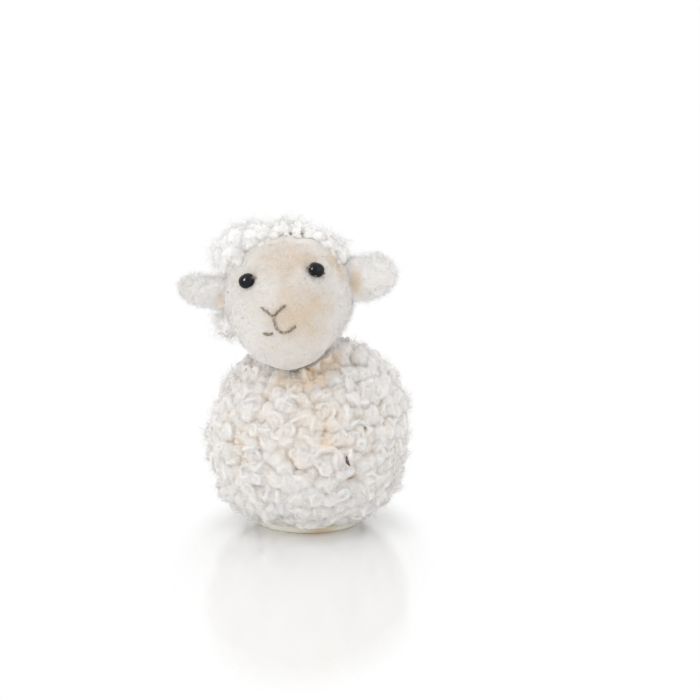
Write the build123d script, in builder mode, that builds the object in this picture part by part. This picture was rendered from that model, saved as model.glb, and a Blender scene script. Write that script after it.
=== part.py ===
"""Palm-sized felted wool sheep: a round body in curls, a smooth turning head, bead eyes, a stitched nose.

Millimetres and degrees. +Z is up, the sheep looks along -Y, and the origin is the middle of the
underside of the base pad. Left and right are the sheep's own, so its left side is at +X.
"""

import os
from math import acos, atan2, cos, degrees, floor, hypot, pi, radians, sin, sqrt, tan

from build123d import *

os.makedirs("parts", exist_ok=True)

# Body: a felted ball on a flat felt pad
core_radius = 21.6
core_flat_radius = 6.5
base_pad_radius = 12.5
base_pad_thickness = 2.4
base_pad_edge_radius = 0.9

# Neck: a felted stalk from the ball into the head, leaning forward and to the sheep's right
neck_lean_forward = 13.0
neck_lean_right = 7.2
neck_gap = 0.6
neck_radius = 4.0
neck_depth_in_core = 7.0
neck_depth_in_head = 7.0
neck_seat_clearance = 0.05
neck_running_clearance = 0.06
neck_end_clearance = 0.3
neck_turn_limit = 20.0

# Head: a large round cranium that tapers to a blunt muzzle
cranium_radius = 16.0
muzzle_radius = 12.0
muzzle_reach = 10.0
muzzle_droop = 30.0
head_turn_right = 6.0
head_roll = 9.0

# Curls of the fleece, as separate domes in rings
curl_radius = 2.1
curl_height = 4.6
curl_gap = 0.4
curl_clearance = 0.4
head_curl_height = 4.0
cap_axis_lean_back = 38.0
cap_row_count = 5

# Ears: flat felt leaves on rounded roots
ear_length = 13.0
ear_width = 10.0
ear_root_width = 7.0
ear_thickness = 2.6
ear_edge_radius = 1.0
ear_running_clearance = 0.1
ear_root_azimuth = 92.0
ear_root_elevation = 10.0
ear_rise = 12.0
ear_sweep_azimuth = 92.0
right_ear_twist = 28.0
left_ear_twist = -8.0

# Eyes: round glass beads sewn on through their holes
bead_radius = 2.0
bead_length = 3.3
bead_hole_radius = 0.6
bead_edge_radius = 1.0
bead_proud = 0.5
bead_clearance = 0.15
right_eye_azimuth = -29.5
right_eye_elevation = 23.5
right_eye_slant = 24.0
left_eye_azimuth = 39.5
left_eye_elevation = 24.0
left_eye_slant = -32.0

# Threads of the eyes, nose and mouth
thread_radius = 0.35
thread_bend_radius = 1.0
thread_clearance = 0.3
eye_thread_depth = 4.0
stitch_lift = 0.05
stitch_depth = 2.5
stitch_bend_radius = 0.5

# Each stitch's start, middle and end on the muzzle, as azimuth and elevation in the head's frame
stitch_angles = {
    "nose_stitch_right": ((-19.3, 22.3), (-16.8, 20.1), (-14.2, 18.2)),
    "nose_stitch_left": ((8.9, 22.9), (3.2, 20.4), (-3.2, 17.0)),
    "philtrum_stitch": ((-8.6, 9.0), (-8.4, 6.6), (-7.9, 4.2)),
    "mouth_stitch_right": ((-18.6, -3.9), (-16.5, -4.4), (-14.4, -4.5)),
    "mouth_stitch_left": ((-2.6, -3.8), (5.5, -5.2), (17.5, -0.4)),
}

# Places that follow from the sizes
core_height = base_pad_thickness + sqrt(core_radius**2 - core_flat_radius**2)
core_centre = Vector(0, 0, core_height)
neck_direction = Vector(-tan(radians(neck_lean_right)), -tan(radians(neck_lean_forward)), 1).normalized()
head_centre = core_centre + neck_direction * (core_radius + neck_gap + cranium_radius)
curl_pitch = 2 * curl_radius + curl_gap

head_turn = radians(head_turn_right)
head_tilt = radians(head_roll)
head_frame = Plane(
    origin=head_centre,
    x_dir=(cos(head_turn) * cos(head_tilt), -sin(head_turn) * cos(head_tilt), sin(head_tilt)),
    z_dir=(-sin(head_tilt) * cos(head_turn), sin(head_tilt) * sin(head_turn), cos(head_tilt)),
)


def head_direction(azimuth, elevation):
    """Unit direction in the world, from an azimuth off the face's middle and a height, in degrees."""
    across = sin(radians(azimuth)) * cos(radians(elevation))
    forward = cos(radians(azimuth)) * cos(radians(elevation))
    return head_frame.from_local_coords((across, -forward, sin(radians(elevation)))) - head_centre


muzzle_axis = head_direction(0, -muzzle_droop)
muzzle_centre = head_centre + muzzle_axis * muzzle_reach
taper_angle = degrees(acos((cranium_radius - muzzle_radius) / muzzle_reach))


def head_surface(azimuth, elevation):
    """Point on the felt of the head and its outward normal, in a direction from the cranium's middle."""
    direction = head_direction(azimuth, elevation)
    lean = direction.get_angle(muzzle_axis)
    if lean >= taper_angle:
        return head_centre + direction * cranium_radius, direction
    outward = (direction - muzzle_axis * cos(radians(lean))).normalized()
    normal = muzzle_axis * cos(radians(taper_angle)) + outward * sin(radians(taper_angle))
    distance = cranium_radius / cos(radians(taper_angle - lean))
    return head_centre + direction * distance, normal


# Base pad
with BuildPart() as base_pad:
    with BuildSketch(Plane.XY):
        Circle(base_pad_radius)
    extrude(amount=base_pad_thickness)
    fillet(base_pad.edges().filter_by(GeomType.CIRCLE), radius=base_pad_edge_radius)
base_pad.part.label = "base_pad"
export_step(base_pad.part, "parts/base_pad.step")

# Neck stalk
neck_foot = Plane(core_centre + neck_direction * (core_radius - neck_depth_in_core), z_dir=neck_direction)
neck_length = neck_depth_in_core + neck_gap + neck_depth_in_head
with BuildPart() as neck_stem:
    with BuildSketch(neck_foot):
        Circle(neck_radius)
    extrude(amount=neck_length)
neck_stem.part.label = "neck_stem"
export_step(neck_stem.part, "parts/neck_stem.step")

# Body core, flat where it stands on the pad, with a seat for the neck
core_side = Plane(core_centre, x_dir=(1, 0, 0), z_dir=(0, -1, 0))
flat_angle = degrees(acos(core_flat_radius / core_radius))
flat_drop = sqrt(core_radius**2 - core_flat_radius**2)
with BuildPart() as body_core:
    with BuildSketch(core_side):
        with BuildLine():
            CenterArc((0, 0), core_radius, -flat_angle, flat_angle + 90)
            Line((core_flat_radius, -flat_drop), (0, -flat_drop))
            Line((0, -flat_drop), (0, core_radius))
        make_face()
    revolve(axis=Axis.Z)
    with BuildSketch(neck_foot):
        Circle(neck_radius + neck_seat_clearance)
    extrude(amount=core_radius, mode=Mode.SUBTRACT)
body_core.part.label = "body_core"
export_step(body_core.part, "parts/body_core.step")


def curl_dome(height):
    """One curl as a dome that stands on XY."""
    with BuildPart() as curl:
        with BuildSketch(Plane.XZ):
            with BuildLine():
                Line((0, 0), (curl_radius, 0))
                Line((curl_radius, 0), (curl_radius, height - curl_radius))
                CenterArc((0, height - curl_radius), curl_radius, 0, 90)
                Line((0, height), (0, 0))
            make_face()
        revolve(axis=Axis.Z)
    return curl.part


def ring_of_seats(frame, ball_radius, polar, row):
    """Planes on a ball for a ring of curls, at an angle from the frame's Z, every other ring staggered."""
    count = max(1, floor(2 * pi * ball_radius * sin(radians(polar)) / curl_pitch))
    seats = []
    for index in range(count):
        turn = radians((index + (row % 2) / 2) * 360 / count)
        across = sin(radians(polar))
        local = (across * cos(turn), across * sin(turn), cos(radians(polar)))
        direction = frame.from_local_coords(local) - frame.origin
        seats.append(Plane(frame.origin + direction * ball_radius, z_dir=direction))
    return seats


def clears_head(seat):
    """True where a curl on this seat stays clear of the head through the whole turn of the neck."""
    tip = seat.origin + seat.z_dir * (curl_height - curl_radius)
    swing_steps = 4
    taper_steps = 4
    for swing in range(-swing_steps, swing_steps + 1):
        axis = muzzle_axis.rotate(Axis((0, 0, 0), neck_direction), swing * neck_turn_limit / swing_steps)
        for step in range(taper_steps + 1):
            along = step / taper_steps
            ball = cranium_radius + along * (muzzle_radius - cranium_radius)
            centre = head_centre + axis * (muzzle_reach * along)
            if (tip - centre).length < ball + curl_radius + curl_clearance:
                return False
    return True


def write_curls(name, seats, height):
    """Build one ring of curls as a group of separate domes and write it."""
    dome = curl_dome(height)
    with BuildPart() as curls:
        with Locations(*[seat.location for seat in seats]):
            add(dome)
    curls.part.label = name
    export_step(curls.part, f"parts/{name}.step")


# Fleece of the body, in rings from the base pad up to the head
tip_radius = core_radius + curl_height - curl_radius
rim_drop = core_height - base_pad_thickness
rim_distance = hypot(base_pad_radius, rim_drop)
rim_reach = curl_radius + curl_clearance
rim_cosine = (tip_radius**2 + rim_distance**2 - rim_reach**2) / (2 * tip_radius * rim_distance)
lowest_ring = degrees(atan2(base_pad_radius, rim_drop)) + degrees(acos(min(1, rim_cosine)))
ring_step = degrees(curl_pitch / core_radius)
ring_count = floor((180 - lowest_ring) / ring_step) + 1
body_frame = Plane(core_centre, z_dir=(0, 0, 1))
for row in range(ring_count):
    ring = ring_of_seats(body_frame, core_radius, 180 - lowest_ring - row * ring_step, row)
    kept_seats = [seat for seat in ring if clears_head(seat)]
    if kept_seats:
        write_curls(f"body_curls_row_{row + 1:02d}", kept_seats, curl_height)

# Eye and ear frames on the head
eye_places = {
    "right": (right_eye_azimuth, right_eye_elevation, right_eye_slant),
    "left": (left_eye_azimuth, left_eye_elevation, left_eye_slant),
}
eye_frames = {}
for side, (azimuth, elevation, slant) in eye_places.items():
    point, normal = head_surface(azimuth, elevation)
    level = head_frame.z_dir.cross(normal).normalized()
    along_hole = level.rotate(Axis((0, 0, 0), normal), slant)
    eye_frames[side] = Plane(point + normal * bead_proud, x_dir=along_hole, z_dir=normal)

ear_frames = {}
for side, sign, twist in (("right", -1, right_ear_twist), ("left", 1, left_ear_twist)):
    root = head_centre + head_direction(sign * ear_root_azimuth, ear_root_elevation) * cranium_radius
    outward = head_direction(sign * ear_sweep_azimuth, ear_rise)
    forward = head_direction(0, 0)
    facing = (forward - outward * forward.dot(outward)).normalized().rotate(Axis((0, 0, 0), outward), twist)
    ear_frames[side] = Plane(root, x_dir=outward, z_dir=facing)

# Head felt, with seats for the neck, the ears, the beads and the threads
neck_mouth = Plane(head_centre - neck_direction * cranium_radius, z_dir=neck_direction)
thread_leg_offset = bead_length / 2 + thread_bend_radius
head_side = Plane(head_centre, x_dir=muzzle_axis, z_dir=head_frame.x_dir)
taper_cosine = cos(radians(taper_angle))
taper_sine = sin(radians(taper_angle))
taper_back = (cranium_radius * taper_cosine, cranium_radius * taper_sine)
taper_front = (muzzle_reach + muzzle_radius * taper_cosine, muzzle_radius * taper_sine)
stitch_radius = muzzle_radius + thread_radius + stitch_lift
stitch_arcs = {}
for name, angles in stitch_angles.items():
    places = [muzzle_centre + head_direction(*pair) * stitch_radius for pair in angles]
    stitch_arcs[name] = ThreePointArc(*places, mode=Mode.PRIVATE)


def stitch_legs(arc):
    """Planes at the tops of a stitch's two legs, one bend past each end of its arc, facing outwards."""
    legs = []
    for end, away in ((arc @ 0, -(arc % 0)), (arc @ 1, arc % 1)):
        outward = (end - muzzle_centre).normalized()
        legs.append(Plane(end + (away - outward) * stitch_bend_radius, z_dir=outward))
    return legs


with BuildPart() as head_felt:
    with BuildSketch(head_side):
        with BuildLine():
            CenterArc((0, 0), cranium_radius, taper_angle, 180 - taper_angle)
            Line(taper_back, taper_front)
            CenterArc((muzzle_reach, 0), muzzle_radius, 0, taper_angle)
            Line((muzzle_reach + muzzle_radius, 0), (-cranium_radius, 0))
        make_face()
    revolve(axis=Axis(head_centre, muzzle_axis))
    with BuildSketch(neck_mouth.offset(-neck_gap)):
        Circle(neck_radius + neck_running_clearance)
    extrude(amount=neck_gap + neck_depth_in_head + neck_end_clearance, mode=Mode.SUBTRACT)
    for frame in ear_frames.values():
        with Locations(frame.location):
            Cylinder(
                ear_thickness / 2 + ear_running_clearance,
                ear_root_width + 2 * ear_running_clearance,
                rotation=(90, 0, 0),
                mode=Mode.SUBTRACT,
            )
    for frame in eye_frames.values():
        with Locations(frame.location):
            Cylinder(
                bead_radius + bead_clearance,
                bead_length + 2 * bead_clearance,
                rotation=(0, 90, 0),
                mode=Mode.SUBTRACT,
            )
            with Locations((thread_leg_offset, 0, bead_radius), (-thread_leg_offset, 0, bead_radius)):
                Cylinder(
                    thread_radius + thread_clearance,
                    bead_radius + bead_proud + eye_thread_depth + thread_clearance,
                    align=(Align.CENTER, Align.CENTER, Align.MAX),
                    mode=Mode.SUBTRACT,
                )
    for arc in stitch_arcs.values():
        for leg in stitch_legs(arc):
            with Locations(leg.offset(stitch_bend_radius).location):
                Cylinder(
                    thread_radius + thread_clearance,
                    stitch_bend_radius + stitch_depth + thread_clearance,
                    align=(Align.CENTER, Align.CENTER, Align.MAX),
                    mode=Mode.SUBTRACT,
                )
head_felt.part.label = "head_felt"
export_step(head_felt.part, "parts/head_felt.step")

# Curly cap of the head, in rings about an axis that leans back
cap_axis = head_direction(180, 90 - cap_axis_lean_back)
cap_frame = Plane(head_centre, x_dir=head_frame.x_dir, z_dir=cap_axis)
ear_bare_angle = degrees((ear_width / 2 + curl_radius + curl_clearance) / cranium_radius)


def clears_ears(seat):
    """True where a curl on the cap stays clear of both ears."""
    for frame in ear_frames.values():
        if seat.z_dir.get_angle(frame.origin - head_centre) < ear_bare_angle:
            return False
    return True


cap_step = degrees(curl_pitch / cranium_radius)
for row in range(cap_row_count):
    ring = ring_of_seats(cap_frame, cranium_radius, row * cap_step, row)
    kept_seats = [seat for seat in ring if clears_ears(seat)]
    write_curls(f"head_curls_row_{row + 1}", kept_seats, head_curl_height)

# Ears
for side, frame in ear_frames.items():
    tip_start = ear_length - ear_width / 2
    with BuildPart() as ear:
        with BuildSketch(frame):
            with BuildLine():
                Line((0, -ear_root_width / 2), (0, ear_root_width / 2))
                TangentArc((tip_start, ear_width / 2), (0, ear_root_width / 2), tangent=(-1, 0))
                CenterArc((tip_start, 0), ear_width / 2, -90, 180)
                TangentArc((tip_start, -ear_width / 2), (0, -ear_root_width / 2), tangent=(-1, 0))
            make_face()
        extrude(amount=ear_thickness / 2, both=True)
        root_face = ear.faces().sort_by(lambda face: (face.center() - frame.origin).dot(frame.x_dir))[0]
        rims = ear.faces().filter_by(frame).edges()
        fillet([rim for rim in rims if rim not in root_face.edges()], radius=ear_edge_radius)
        with Locations(frame.location):
            Cylinder(ear_thickness / 2, ear_root_width - 2 * ear_edge_radius, rotation=(90, 0, 0))
    ear.part.label = f"{side}_ear"
    export_step(ear.part, f"parts/{side}_ear.step")

# Bead eyes and their threads
for side, frame in eye_frames.items():
    with BuildPart() as bead:
        with BuildSketch(frame):
            bead_wall = bead_radius - bead_hole_radius
            with Locations((0, bead_hole_radius + bead_wall / 2)):
                Rectangle(bead_length, bead_wall)
        revolve(axis=Axis(frame.origin, frame.x_dir))
        rims = bead.edges().filter_by(GeomType.CIRCLE).group_by(SortBy.RADIUS)[-1]
        fillet(rims, radius=bead_edge_radius)
    bead.part.label = f"{side}_eye_bead"
    export_step(bead.part, f"parts/{side}_eye_bead.step")

    thread_side = Plane(frame.origin, x_dir=frame.x_dir, z_dir=-frame.y_dir)
    leg_length = bead_proud + eye_thread_depth
    with BuildPart() as eye_thread:
        with BuildLine(thread_side) as thread_path:
            FilletPolyline(
                (-thread_leg_offset, -leg_length),
                (-thread_leg_offset, 0),
                (thread_leg_offset, 0),
                (thread_leg_offset, -leg_length),
                radius=thread_bend_radius,
            )
        with BuildSketch(Plane(thread_path.line @ 0, z_dir=thread_path.line % 0)):
            Circle(thread_radius)
        sweep()
    eye_thread.part.label = f"{side}_eye_thread"
    export_step(eye_thread.part, f"parts/{side}_eye_thread.step")

# Nose and mouth stitches, each lying on the muzzle and bending into it at both ends
for name, arc in stitch_arcs.items():
    first_leg, last_leg = stitch_legs(arc)
    with BuildPart() as stitch:
        with BuildLine() as stitch_path:
            Line(first_leg.origin - first_leg.z_dir * stitch_depth, first_leg.origin)
            TangentArc(arc @ 0, first_leg.origin, tangent=-(arc % 0))
            add(arc)
            TangentArc(arc @ 1, last_leg.origin, tangent=arc % 1)
            Line(last_leg.origin, last_leg.origin - last_leg.z_dir * stitch_depth)
        with BuildSketch(Plane(first_leg.origin - first_leg.z_dir * stitch_depth, z_dir=first_leg.z_dir)):
            Circle(thread_radius)
        sweep(path=stitch_path.wire())
    stitch.part.label = name
    export_step(stitch.part, f"parts/{name}.step")

print("neck turn", core_centre, neck_direction)
for side, frame in ear_frames.items():
    print(side, "ear fold", frame.origin, frame.y_dir)
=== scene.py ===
"""Needle-felted lamb figurine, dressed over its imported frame.

All sizes in the classes are in millimetres and degrees, in the frame of the CAD model. Meshes are
written in metres.
"""

import logging
import math
import random
from collections.abc import Callable, Iterable, Sequence
from dataclasses import dataclass, field
from enum import Enum

import bmesh
import bpy
import numpy as np
from mathutils import Matrix, Quaternion, Vector, noise
from mathutils.kdtree import KDTree


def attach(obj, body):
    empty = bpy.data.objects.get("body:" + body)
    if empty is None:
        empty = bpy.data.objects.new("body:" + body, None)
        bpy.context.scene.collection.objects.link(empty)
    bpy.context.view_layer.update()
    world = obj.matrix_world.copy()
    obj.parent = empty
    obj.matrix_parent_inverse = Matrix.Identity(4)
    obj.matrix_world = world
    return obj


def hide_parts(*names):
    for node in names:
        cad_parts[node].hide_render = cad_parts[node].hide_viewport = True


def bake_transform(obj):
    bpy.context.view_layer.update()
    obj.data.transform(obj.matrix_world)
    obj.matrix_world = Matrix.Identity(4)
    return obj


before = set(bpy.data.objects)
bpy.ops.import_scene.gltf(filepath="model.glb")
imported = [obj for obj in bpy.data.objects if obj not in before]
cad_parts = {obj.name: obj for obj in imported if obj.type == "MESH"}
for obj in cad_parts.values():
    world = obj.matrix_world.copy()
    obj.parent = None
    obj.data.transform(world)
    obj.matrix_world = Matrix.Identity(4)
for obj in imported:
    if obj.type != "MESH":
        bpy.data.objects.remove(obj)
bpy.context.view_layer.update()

LOG = logging.getLogger("lamb")
MM = 0.001
TINY = 1e-6
SEAM_MERGE = 0.0005
BAKE_MAP = "OFBake"

Angles = tuple[float, float]
Flat = tuple[float, float]
Colour = tuple[float, float, float]
Spot = tuple[float, float, float]
Comb = Callable[[np.ndarray], np.ndarray]
Socket = bpy.types.NodeSocket
Inputs = dict[str | int, object]


class CurlShape(Enum):
    """The ways in which a lock of fleece winds itself up."""

    RINGLET = "ringlet"
    SNAIL = "snail"
    LOOP = "loop"


class Side(Enum):
    """The lamb's own right and left, with the sign of x on each."""

    RIGHT = -1
    LEFT = 1

    @property
    def word(self) -> str:
        """The side as it is written in piece names."""
        return self.name.lower()


# Sums that several pieces share


def blend_step(value: float, low: float, high: float) -> float:
    """Ease a value from 0 at low to 1 at high.

    Args:
        value: The value to ease.
        low: Where the ease starts.
        high: Where it ends.

    Returns:
        The eased share, from 0 to 1.
    """
    share = min(1.0, max(0.0, (value - low) / (high - low)))
    return share * share * (3 - 2 * share)


def bell(distance: float, width: float) -> float:
    """A soft bump of height 1 that fades over its width."""
    return math.exp(-((distance / width) ** 2))


def even_shares(count: int) -> list[float]:
    """Evenly spaced shares from 0 to 1, both included."""
    return [i / (count - 1) for i in range(count)]


def degrees_between(first: Vector, second: Vector) -> float:
    """The angle between two directions."""
    return math.degrees(first.angle(second))


def chance_step(rng: random.Random, size: float) -> Vector:
    """A step of at most the given size along each axis."""
    return Vector([rng.uniform(-size, size) for _ in range(3)])


def metres(spot: Spot) -> Spot:
    """A spot that is given in millimetres, in metres."""
    return tuple(value * MM for value in spot)


def spread_directions(count: int) -> list[Vector]:
    """Directions spread evenly over a ball.

    Args:
        count: How many directions are wanted.

    Returns:
        Unit vectors along a golden spiral.
    """
    golden = math.pi * (3 - math.sqrt(5))
    found = []
    for i in range(count):
        z = 1 - 2 * (i + 0.5) / count
        ring = math.sqrt(1 - z * z)
        found.append(Vector((math.cos(golden * i) * ring, math.sin(golden * i) * ring, z)))
    return found


def standing_frame(point: Vector, normal: Vector, spin: float, scale: float) -> Matrix:
    """A frame that stands on a surface.

    Args:
        point: Where it stands, in millimetres.
        normal: The way that it stands up.
        spin: Its turn about the normal, in radians.
        scale: Its size.

    Returns:
        The matrix from the frame to the model, both in millimetres.
    """
    turn = Vector((0, 0, 1)).rotation_difference(normal).to_matrix().to_4x4()
    return Matrix.Translation(point) @ turn @ Matrix.Rotation(spin, 4, "Z") @ Matrix.Scale(scale, 4)


def axes_frame(x: Vector, y: Vector, z: Vector, origin: Vector) -> Matrix:
    """The matrix from a frame to the model, from the frame's axes and origin."""
    turned = Matrix((x, y, z)).transposed().to_4x4()
    turned.translation = origin
    return turned


# Meshes and pieces


def mapped_bmesh() -> bmesh.types.BMesh:
    """An empty bmesh with a bake map."""
    bm = bmesh.new()
    bm.loops.layers.uv.new(BAKE_MAP)
    return bm


def template_mesh(name: str, bm: bmesh.types.BMesh) -> bpy.types.Mesh:
    """Turn a bmesh of closed parts into a mesh to plant copies of.

    Args:
        name: The mesh's name.
        bm: The parts, in millimetres, freed here.

    Returns:
        The mesh, still in millimetres.
    """
    bmesh.ops.recalc_face_normals(bm, faces=bm.faces)
    mesh = bpy.data.meshes.new(name)
    bm.to_mesh(mesh)
    bm.free()
    return mesh


def finish_mesh(name: str, bm: bmesh.types.BMesh, material: bpy.types.Material) -> bpy.types.Object:
    """Turn a bmesh into a smooth object at the origin.

    Args:
        name: The piece's name.
        bm: The mesh so far, in millimetres, freed here.
        material: Its material.

    Returns:
        The object, linked to the scene.
    """
    bmesh.ops.scale(bm, vec=Vector((MM, MM, MM)), verts=bm.verts)
    mesh = bpy.data.meshes.new(name)
    bm.to_mesh(mesh)
    bm.free()
    mesh.shade_smooth()
    mesh.materials.append(material)
    piece = bpy.data.objects.new(name, mesh)
    bpy.context.collection.objects.link(piece)
    return piece


def arc(middle: Flat, radii: Flat, start: float, sweep: float, count: int) -> list[Flat]:
    """Points along an arc of an ellipse.

    Args:
        middle: The ellipse's middle, as x and z.
        radii: Its radii along x and z.
        start: Where the arc starts, in degrees.
        sweep: How far it goes.
        count: How many points it has.

    Returns:
        The points, as x and z.
    """
    angles = [math.radians(start + sweep * share) for share in even_shares(count)]
    return [(middle[0] + radii[0] * math.cos(a), middle[1] + radii[1] * math.sin(a)) for a in angles]


def spun(profile: Sequence[Flat], axis: Spot, steps: int, closed: bool = False) -> bmesh.types.BMesh:
    """Spin a profile once round an axis.

    Args:
        profile: Points of the profile, as x and z.
        axis: The axis, through the origin.
        steps: How many steps the spin takes.
        closed: Whether the profile's end joins its start.

    Returns:
        A closed bmesh.
    """
    bm = bmesh.new()
    verts = [bm.verts.new((x, 0, z)) for x, z in profile]
    following = verts[1:] + verts[:1] if closed else verts[1:]
    edges = [bm.edges.new(pair) for pair in zip(verts, following)]
    line = verts + edges
    bmesh.ops.spin(bm, geom=line, cent=(0, 0, 0), axis=axis, angle=math.tau, steps=steps, use_merge=True)
    bmesh.ops.remove_doubles(bm, verts=bm.verts, dist=SEAM_MERGE)
    bmesh.ops.recalc_face_normals(bm, faces=bm.faces)
    return bm


def comb_points(bm: bmesh.types.BMesh, comb: Comb, unit: float = 1.0) -> None:
    """Move the points of a bmesh aside, and leave them in millimetres.

    Args:
        bm: The mesh to comb.
        comb: What moves its points, in millimetres.
        unit: The mesh's units in a millimetre.
    """
    points = comb(np.array([vert.co for vert in bm.verts]) / unit)
    for vert, point in zip(bm.verts, points):
        vert.co = point


def settle(piece: bpy.types.Object, body: str, slot: str, *nodes: str) -> bpy.types.Object:
    """Tie a finished piece to its body and hide the nodes that it stands for.

    Args:
        piece: The finished piece.
        body: The body that carries it.
        slot: The record's material slot; not used.
        nodes: The CAD nodes that it replaces.

    Returns:
        The same piece.
    """
    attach(piece, body)
    if nodes:
        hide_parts(*nodes)
    LOG.info("%s on %s: %d faces", piece.name, body, len(piece.data.polygons))
    return piece


# Finishes


class NodeBench:
    """A small helper that adds and joins the nodes of one tree."""

    def __init__(self, tree: bpy.types.NodeTree) -> None:
        """Start on a tree."""
        self.tree = tree

    def feed(self, node: bpy.types.Node, inputs: Inputs) -> None:
        """Give inputs of a node their values.

        Args:
            node: The node.
            inputs: Values, or output sockets to link, for its inputs.
        """
        for name, value in inputs.items():
            if isinstance(value, Socket):
                self.tree.links.new(value, node.inputs[name])
            else:
                node.inputs[name].default_value = value

    def add(self, kind: str, inputs: Inputs | None = None, **settings: object) -> bpy.types.Node:
        """Add a node.

        Args:
            kind: The node's type name.
            inputs: Values, or output sockets to link, for its inputs.
            settings: Attributes of the node itself.

        Returns:
            The new node.
        """
        node = self.tree.nodes.new(kind)
        for name, value in settings.items():
            setattr(node, name, value)
        self.feed(node, inputs or {})
        return node

    def place(self) -> Socket:
        """The place on the model, by its own coordinates."""
        return self.add("ShaderNodeTexCoord").outputs["Object"]

    def ramp(self, value: Socket, low: float, high: float, start: float = 0.0, end: float = 1.0) -> Socket:
        """Map a value smoothly from one range to another."""
        inputs = {"Value": value, "From Min": low, "From Max": high, "To Min": start, "To Max": end}
        return self.add("ShaderNodeMapRange", inputs, interpolation_type="SMOOTHSTEP").outputs["Result"]

    def mix(self, share: Socket, first: Socket | Colour, second: Socket | Colour) -> Socket:
        """Mix two colours by a share, through the colour sockets of a mix node."""
        first, second = (part if isinstance(part, Socket) else (*part, 1.0) for part in (first, second))
        return self.add("ShaderNodeMix", {0: share, 6: first, 7: second}, data_type="RGBA").outputs[2]

    def math(self, operation: str, *values: Socket | float) -> Socket:
        """Do one sum on values."""
        return self.add("ShaderNodeMath", dict(enumerate(values)), operation=operation).outputs[0]

    def noise(self, place: Socket, scale: Socket | float, detail: float, distortion: float = 0.0) -> Socket:
        """Cloudy values from 0 to 1."""
        inputs = {"Vector": place, "Scale": scale, "Detail": detail, "Distortion": distortion}
        return self.add("ShaderNodeTexNoise", inputs).outputs["Fac"]

    def away(self, place: Socket, spot: Spot) -> Socket:
        """The distance of a place from a spot that is given in millimetres."""
        inputs = {0: place, 1: metres(spot)}
        return self.add("ShaderNodeVectorMath", inputs, operation="DISTANCE").outputs["Value"]

    def seen(self) -> Socket:
        """Whether a ray comes from the camera, by a mirror or through something clear."""
        path = self.add("ShaderNodeLightPath").outputs
        seen = self.math("MAXIMUM", path["Is Camera Ray"], path["Is Glossy Ray"])
        return self.math("MAXIMUM", seen, path["Is Transmission Ray"])


class SurfaceBench(NodeBench):
    """A bench on the tree of a new material."""

    def __init__(self, name: str) -> None:
        """Start the material, with its plain shader."""
        self.material = bpy.data.materials.new(name)
        self.material.use_nodes = True
        super().__init__(self.material.node_tree)
        self.shader = self.tree.nodes["Principled BSDF"]

    def own_map(self) -> bpy.types.bpy_prop_collection:
        """Tone as X and height as Y, from the piece's own map."""
        own = self.add("ShaderNodeUVMap", uv_map=BAKE_MAP).outputs["UV"]
        return self.add("ShaderNodeSeparateXYZ", {0: own}).outputs

    def dress(self, inputs: Inputs) -> bpy.types.Material:
        """Finish the shader by its inputs, and return the material."""
        self.feed(self.shader, inputs)
        return self.material


def wool_mottle() -> bpy.types.NodeTree:
    """The node group with the cloudy patches and the fine fibre of carded wool.

    Returns:
        The group, with a Vector and a Size in, and Cloud and Fibre values out.
    """
    name, fibre_fineness = "wool_mottle", 20.0
    if name in bpy.data.node_groups:
        return bpy.data.node_groups[name]
    group = bpy.data.node_groups.new(name, "ShaderNodeTree")
    sockets = {"Vector": ("INPUT", "Vector"), "Size": ("INPUT", "Float")}
    sockets |= {"Cloud": ("OUTPUT", "Float"), "Fibre": ("OUTPUT", "Float")}
    for socket, (way, kind) in sockets.items():
        group.interface.new_socket(socket, in_out=way, socket_type=f"NodeSocket{kind}")
    bench = NodeBench(group)
    source = bench.add("NodeGroupInput").outputs
    cloud = bench.noise(source["Vector"], source["Size"], 3.0)
    fine = bench.math("MULTIPLY", source["Size"], fibre_fineness)
    fibre = bench.noise(source["Vector"], fine, 4.0, 1.6)
    bench.add("NodeGroupOutput", {"Cloud": bench.ramp(cloud, 0.36, 0.66), "Fibre": fibre})
    return group


@dataclass(frozen=True)
class WarmShadePatch:
    """A place where warm shade is painted on the wool, with its reach and its strength."""

    place: Spot
    reach: float
    strength: float


class WoolBench(SurfaceBench):
    """A bench on a new wool material, with the mottle of carded wool."""

    ragged = 0.5
    core = 0.1
    bump_height = 0.3

    def __init__(self, name: str, cloud_size: float) -> None:
        """Start the material, with clouds of a size."""
        super().__init__(name)
        self.spot = self.place()
        inputs = {"Vector": self.spot, "Size": cloud_size}
        mottle = self.add("ShaderNodeGroup", inputs, node_tree=wool_mottle())
        self.cloud, self.fibre = mottle.outputs["Cloud"], mottle.outputs["Fibre"]

    def painted_shade(self, colour: Socket, shade_colour: Colour, patches: Iterable[WarmShadePatch]) -> Socket:
        """Lay warm patches of painted shade, with ragged edges, over a colour.

        Args:
            colour: The colour so far.
            shade_colour: The patches' colour.
            patches: Where they are.

        Returns:
            The colour with the painted shade laid over it.
        """
        # Each patch paints warm shade, strongest at its middle and fading out at its ragged edge.
        for patch in patches:
            reach = patch.reach * MM
            edge = self.math("MULTIPLY_ADD", self.cloud, reach * self.ragged, -reach * self.ragged / 2)
            away = self.math("ADD", self.away(self.spot, patch.place), edge)
            colour = self.mix(self.ramp(away, reach, reach * self.core, 0.0, patch.strength), colour, shade_colour)
        return colour

    def bump(self, strength: float) -> Socket:
        """The roughness of the fibre, as a normal."""
        inputs = {"Strength": strength, "Distance": self.bump_height * MM, "Height": self.fibre}
        return self.add("ShaderNodeBump", inputs).outputs["Normal"]


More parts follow.
